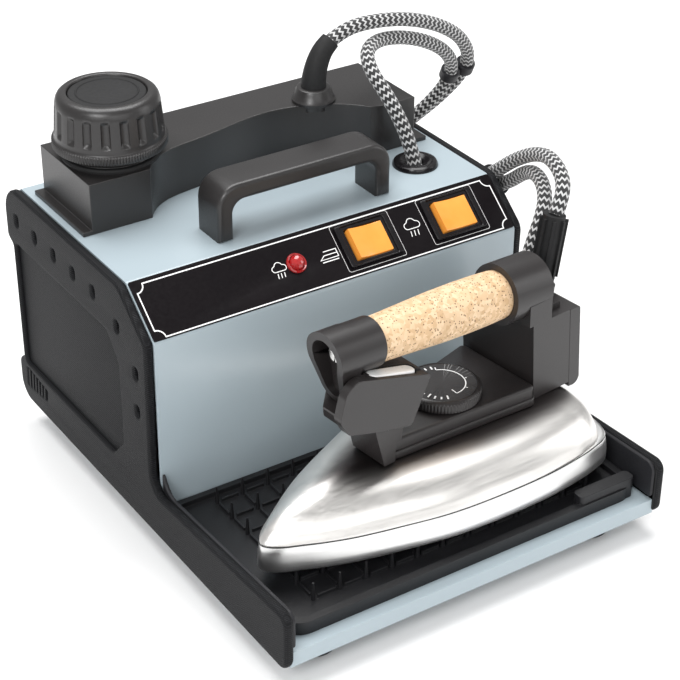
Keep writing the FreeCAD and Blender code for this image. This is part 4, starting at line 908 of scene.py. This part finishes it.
def coil_points(low):
    """Put-away turns, clockwise from above: out on the lower layer, in, up, and out again."""
    outer, inner = COIL_RADII
    points = []
    for k in range(round(COIL_TURNS * TURN_POINTS) + 1):
        turn = k / TURN_POINTS
        angle = math.radians(-90 - 360 * turn)
        shift = min(max(turn - 0.85, 0.0) / 0.3, 1.0) - min(max(turn - 2.55, 0.0) / 0.3, 1.0)
        lift = min(max(turn - 1.75, 0.0) / 0.3, 1.0)
        radius = outer + (inner - outer) * shift
        points.append((COIL_CENTRE.x + radius * math.cos(angle), COIL_CENTRE.y + radius * math.sin(angle),
                       low + COIL_LAYER * lift))
    return points


def centre_line(name, points):
    """The smooth line of a route: a NURBS spline read back as points, in metres."""
    curve = bpy.data.curves.new(name, "CURVE")
    curve.dimensions = "3D"
    spline = curve.splines.new("NURBS")
    spline.points.add(len(points) - 1)
    for point, at in zip(spline.points, points):
        point.co = (at[0] * MM, at[1] * MM, at[2] * MM, 1)
    spline.order_u = 3
    spline.use_endpoint_u = True
    spline.resolution_u = 10
    holder = bpy.data.objects.new(name, curve)
    mesh = bpy.data.meshes.new_from_object(holder)
    line = [v.co.copy() for v in mesh.vertices]
    bpy.data.objects.remove(holder)
    bpy.data.curves.remove(curve)
    bpy.data.meshes.remove(mesh)
    return line


def braided_tube(name, line, diameter, segments=22):
    """A tube round a line, with its girth and length kept as a map for the braid."""
    radius = diameter / 2
    rings, lengths = [], []
    side = None
    gone = 0.0
    for i, here in enumerate(line):
        ahead = (line[min(i + 1, len(line) - 1)] - line[max(i - 1, 0)]).normalized()
        if side is None:
            side = ahead.orthogonal().normalized()
        side = (side - ahead * side.dot(ahead)).normalized()
        other = ahead.cross(side)
        if i:
            gone += (here - line[i - 1]).length
        rings.append([here + (side * math.cos(a) + other * math.sin(a)) * radius
                      for a in (2 * math.pi * k / segments for k in range(segments))])
        lengths.append(gone / MM)
    mesh = loft(rings)
    layer = mesh.uv_layers.new(name="braid")
    for polygon in mesh.polygons:
        if len(polygon.vertices) > 4:
            continue
        spokes = [v % segments for v in polygon.vertices]
        wraps = max(spokes) == segments - 1 and min(spokes) == 0
        for corner, vertex in zip(polygon.loop_indices, polygon.vertices):
            spoke = vertex % segments
            around = (segments if wraps and spoke == 0 else spoke) / segments
            layer.data[corner].uv = (around, lengths[vertex // segments])
    mesh.shade_smooth()
    mesh.materials.append(BRAID)
    item = linked(name, mesh)
    return item


def clip_between(name, first, second, along, nodes=()):
    """Two black rings joined side by side, one round each cord."""
    axis = Vector(along).normalized()
    shapes = []
    for at in (first, second):
        ring = lathe([(4.7, -3.6), (6.1, -3.9), (6.6, -3.2), (6.6, 3.2), (6.1, 3.9), (4.7, 3.6)], 40)
        ring.transform(aim(at, axis))
        shapes.append(ring)
    return piece(name, joined(shapes), CASE_BLACK, "base", nodes)


def cords():
    """Steam hose and iron lead, held together by two clips."""
    hose_line = centre_line("hose", HOSE_START + coil_points(5.0) + HOSE_END)
    lead_line = centre_line("lead", LEAD_START + coil_points(24.2) + LEAD_END)
    clips = [clip_between("clip_loop", (196.0, 132.2, 177.6), (184.6, 133.4, 174.4), (1.5, 9.5, -17.5),
                          ("hose_clips",)),
             clip_between("clip_side", (142.9, 33.5, 150.8), (146.8, 28.0, 145.1), (-1.8, -11.1, 8.1))]
    hose = braided_tube("steam_hose", hose_line, CORD_D * MM)
    lead = braided_tube("iron_lead", lead_line, CORD_D * MM)
    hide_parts("hose_from_boot", "hose_to_clip", "hose_to_iron", "hose_coil")
    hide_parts("lead_from_grommet", "lead_to_clip", "lead_to_iron", "lead_coil")
    for item in (hose, lead):
        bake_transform(item)


# ---- CAD nodes that keep their shape --------------------------------------------------------------
KEPT = {"rubber_feet": RUBBER, "base_screws": PLATED, "mat_pins": MAT_RUBBER, "filler_neck": BRASS,
        "cap_core": BRASS, "cap_seal": RUBBER, "boiler_body": CAST, "boiler_lid": CAST,
        "boiler_heater": PLATED, "boiler_brackets": PLATED, "boiler_controls": GLOSS,
        "steam_valve": BRASS, "steam_pipe": COPPER, "terminal_block": WHITE,
        "mains_gland": CASE_BLACK, "iron_heater": PLATED, "iron_thermostat": PLATED,
        "iron_micro_switch": GLOSS, "iron_hose_sleeve": RUBBER, "iron_screws": PLATED}


def dress_cad_nodes():
    """Softened copies of the plain CAD shells; the rest of the nodes only get a finish."""
    carved("casing_skin", "casing_shell", PAINT, "base", 1.0)
    carved("floor_tray", "floor_plate", PAINT, "base", 1.0)
    carved("arm_walls", "arm_liners", CASE_BLACK, "base", 0.8)
    carved("mat_tray", "rest_mat", MAT_RUBBER, "base", 0.9)
    for name, material in KEPT.items():
        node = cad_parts[name]
        node.data.materials.clear()
        node.data.materials.append(material)


# ---- Studio -------------------------------------------------------------------------------------------
LIGHTS = (("key", (-1.3, -0.9, 1.2), (0.8, 0.8), 18.0),
          ("top", (0.1, 0.5, 1.8), (1.8, 1.2), 40.0),
          ("right", (1.5, -0.9, 0.7), (0.6, 1.2), 6.0),
          ("front", (-0.2, -1.9, 0.9), (1.6, 0.6), 7.0))
LIT_POINT = Vector((0, 0, 0.1))
FLOOR_HALF = 6.0
WORLD_LIGHT, WORLD_SEEN = 0.45, 1.0            # its strength as a light, and as the camera sees it


def area_light(name, at, size, power):
    """Oblong soft light that faces the object."""
    light = bpy.data.lights.new(name, "AREA")
    light.shape = "RECTANGLE"
    light.size, light.size_y = size
    light.energy = power
    item = linked(name, light)
    item.location = at
    item.rotation_euler = (LIT_POINT - Vector(at)).to_track_quat("-Z", "Y").to_euler()


def studio():
    """White floor and world with four soft lights."""
    corners = [(-1, -1), (1, -1), (1, 1), (-1, 1)]
    mesh = mesh_from([(x * FLOOR_HALF, y * FLOOR_HALF, 0) for x, y in corners], [(0, 1, 2, 3)])
    mesh.materials.append(floor_finish("floor_white"))
    floor = linked("floor", mesh)
    floor.location.z = -0.0005
    world = bpy.data.worlds.new("studio")
    world.use_nodes = True
    nodes, links = world.node_tree.nodes, world.node_tree.links
    nodes["Background"].inputs["Color"].default_value = (1.0, 1.0, 1.0, 1.0)
    rays = nodes.new("ShaderNodeLightPath")
    strength = nodes.new("ShaderNodeMapRange")
    strength.inputs["To Min"].default_value = WORLD_LIGHT
    strength.inputs["To Max"].default_value = WORLD_SEEN
    links.new(rays.outputs["Is Camera Ray"], strength.inputs["Value"])
    links.new(strength.outputs["Result"], nodes["Background"].inputs["Strength"])
    bpy.context.scene.world = world
    bpy.context.scene.view_settings.view_transform = "Standard"
    for light in LIGHTS:
        area_light(*light)


VIEW_TURN, VIEW_RISE, VIEW_ROLL = -33.45, 31.63, 0.35   # degrees
VIEW_TARGET, VIEW_DISTANCE = Vector((-0.0962, -0.1595, 0.2081)), 0.9051


def camera():
    """The view of the whole object from the left front, slightly from above."""
    turn, rise, roll = (math.radians(angle) for angle in (VIEW_TURN, VIEW_RISE, VIEW_ROLL))
    back = Vector((math.sin(turn) * math.cos(rise), -math.cos(turn) * math.cos(rise), math.sin(rise)))
    right = Vector((math.cos(turn), math.sin(turn), 0))
    up = back.cross(right)
    x_axis = right * math.cos(roll) + up * math.sin(roll)
    y_axis = up * math.cos(roll) - right * math.sin(roll)
    at = VIEW_TARGET + back * VIEW_DISTANCE
    data = bpy.data.cameras.new("view")
    data.lens = 99.1
    data.sensor_width = 36.0
    item = linked("view", data)
    item.matrix_world = Matrix(((x_axis.x, y_axis.x, back.x, at.x), (x_axis.y, y_axis.y, back.y, at.y),
                                (x_axis.z, y_axis.z, back.z, at.z), (0, 0, 0, 1)))
    bpy.context.scene.camera = item


camera()
cords()
dress_cad_nodes()
side_panels()
top_cover()
carry_handle()
control_strip()
switches()
lamp()
filler_cap()
hose_boot()
lead_grommet()
hull_and_sole()
plinth()
pod()
steam_button()
grip()
rear_upright()
dial()
studio()
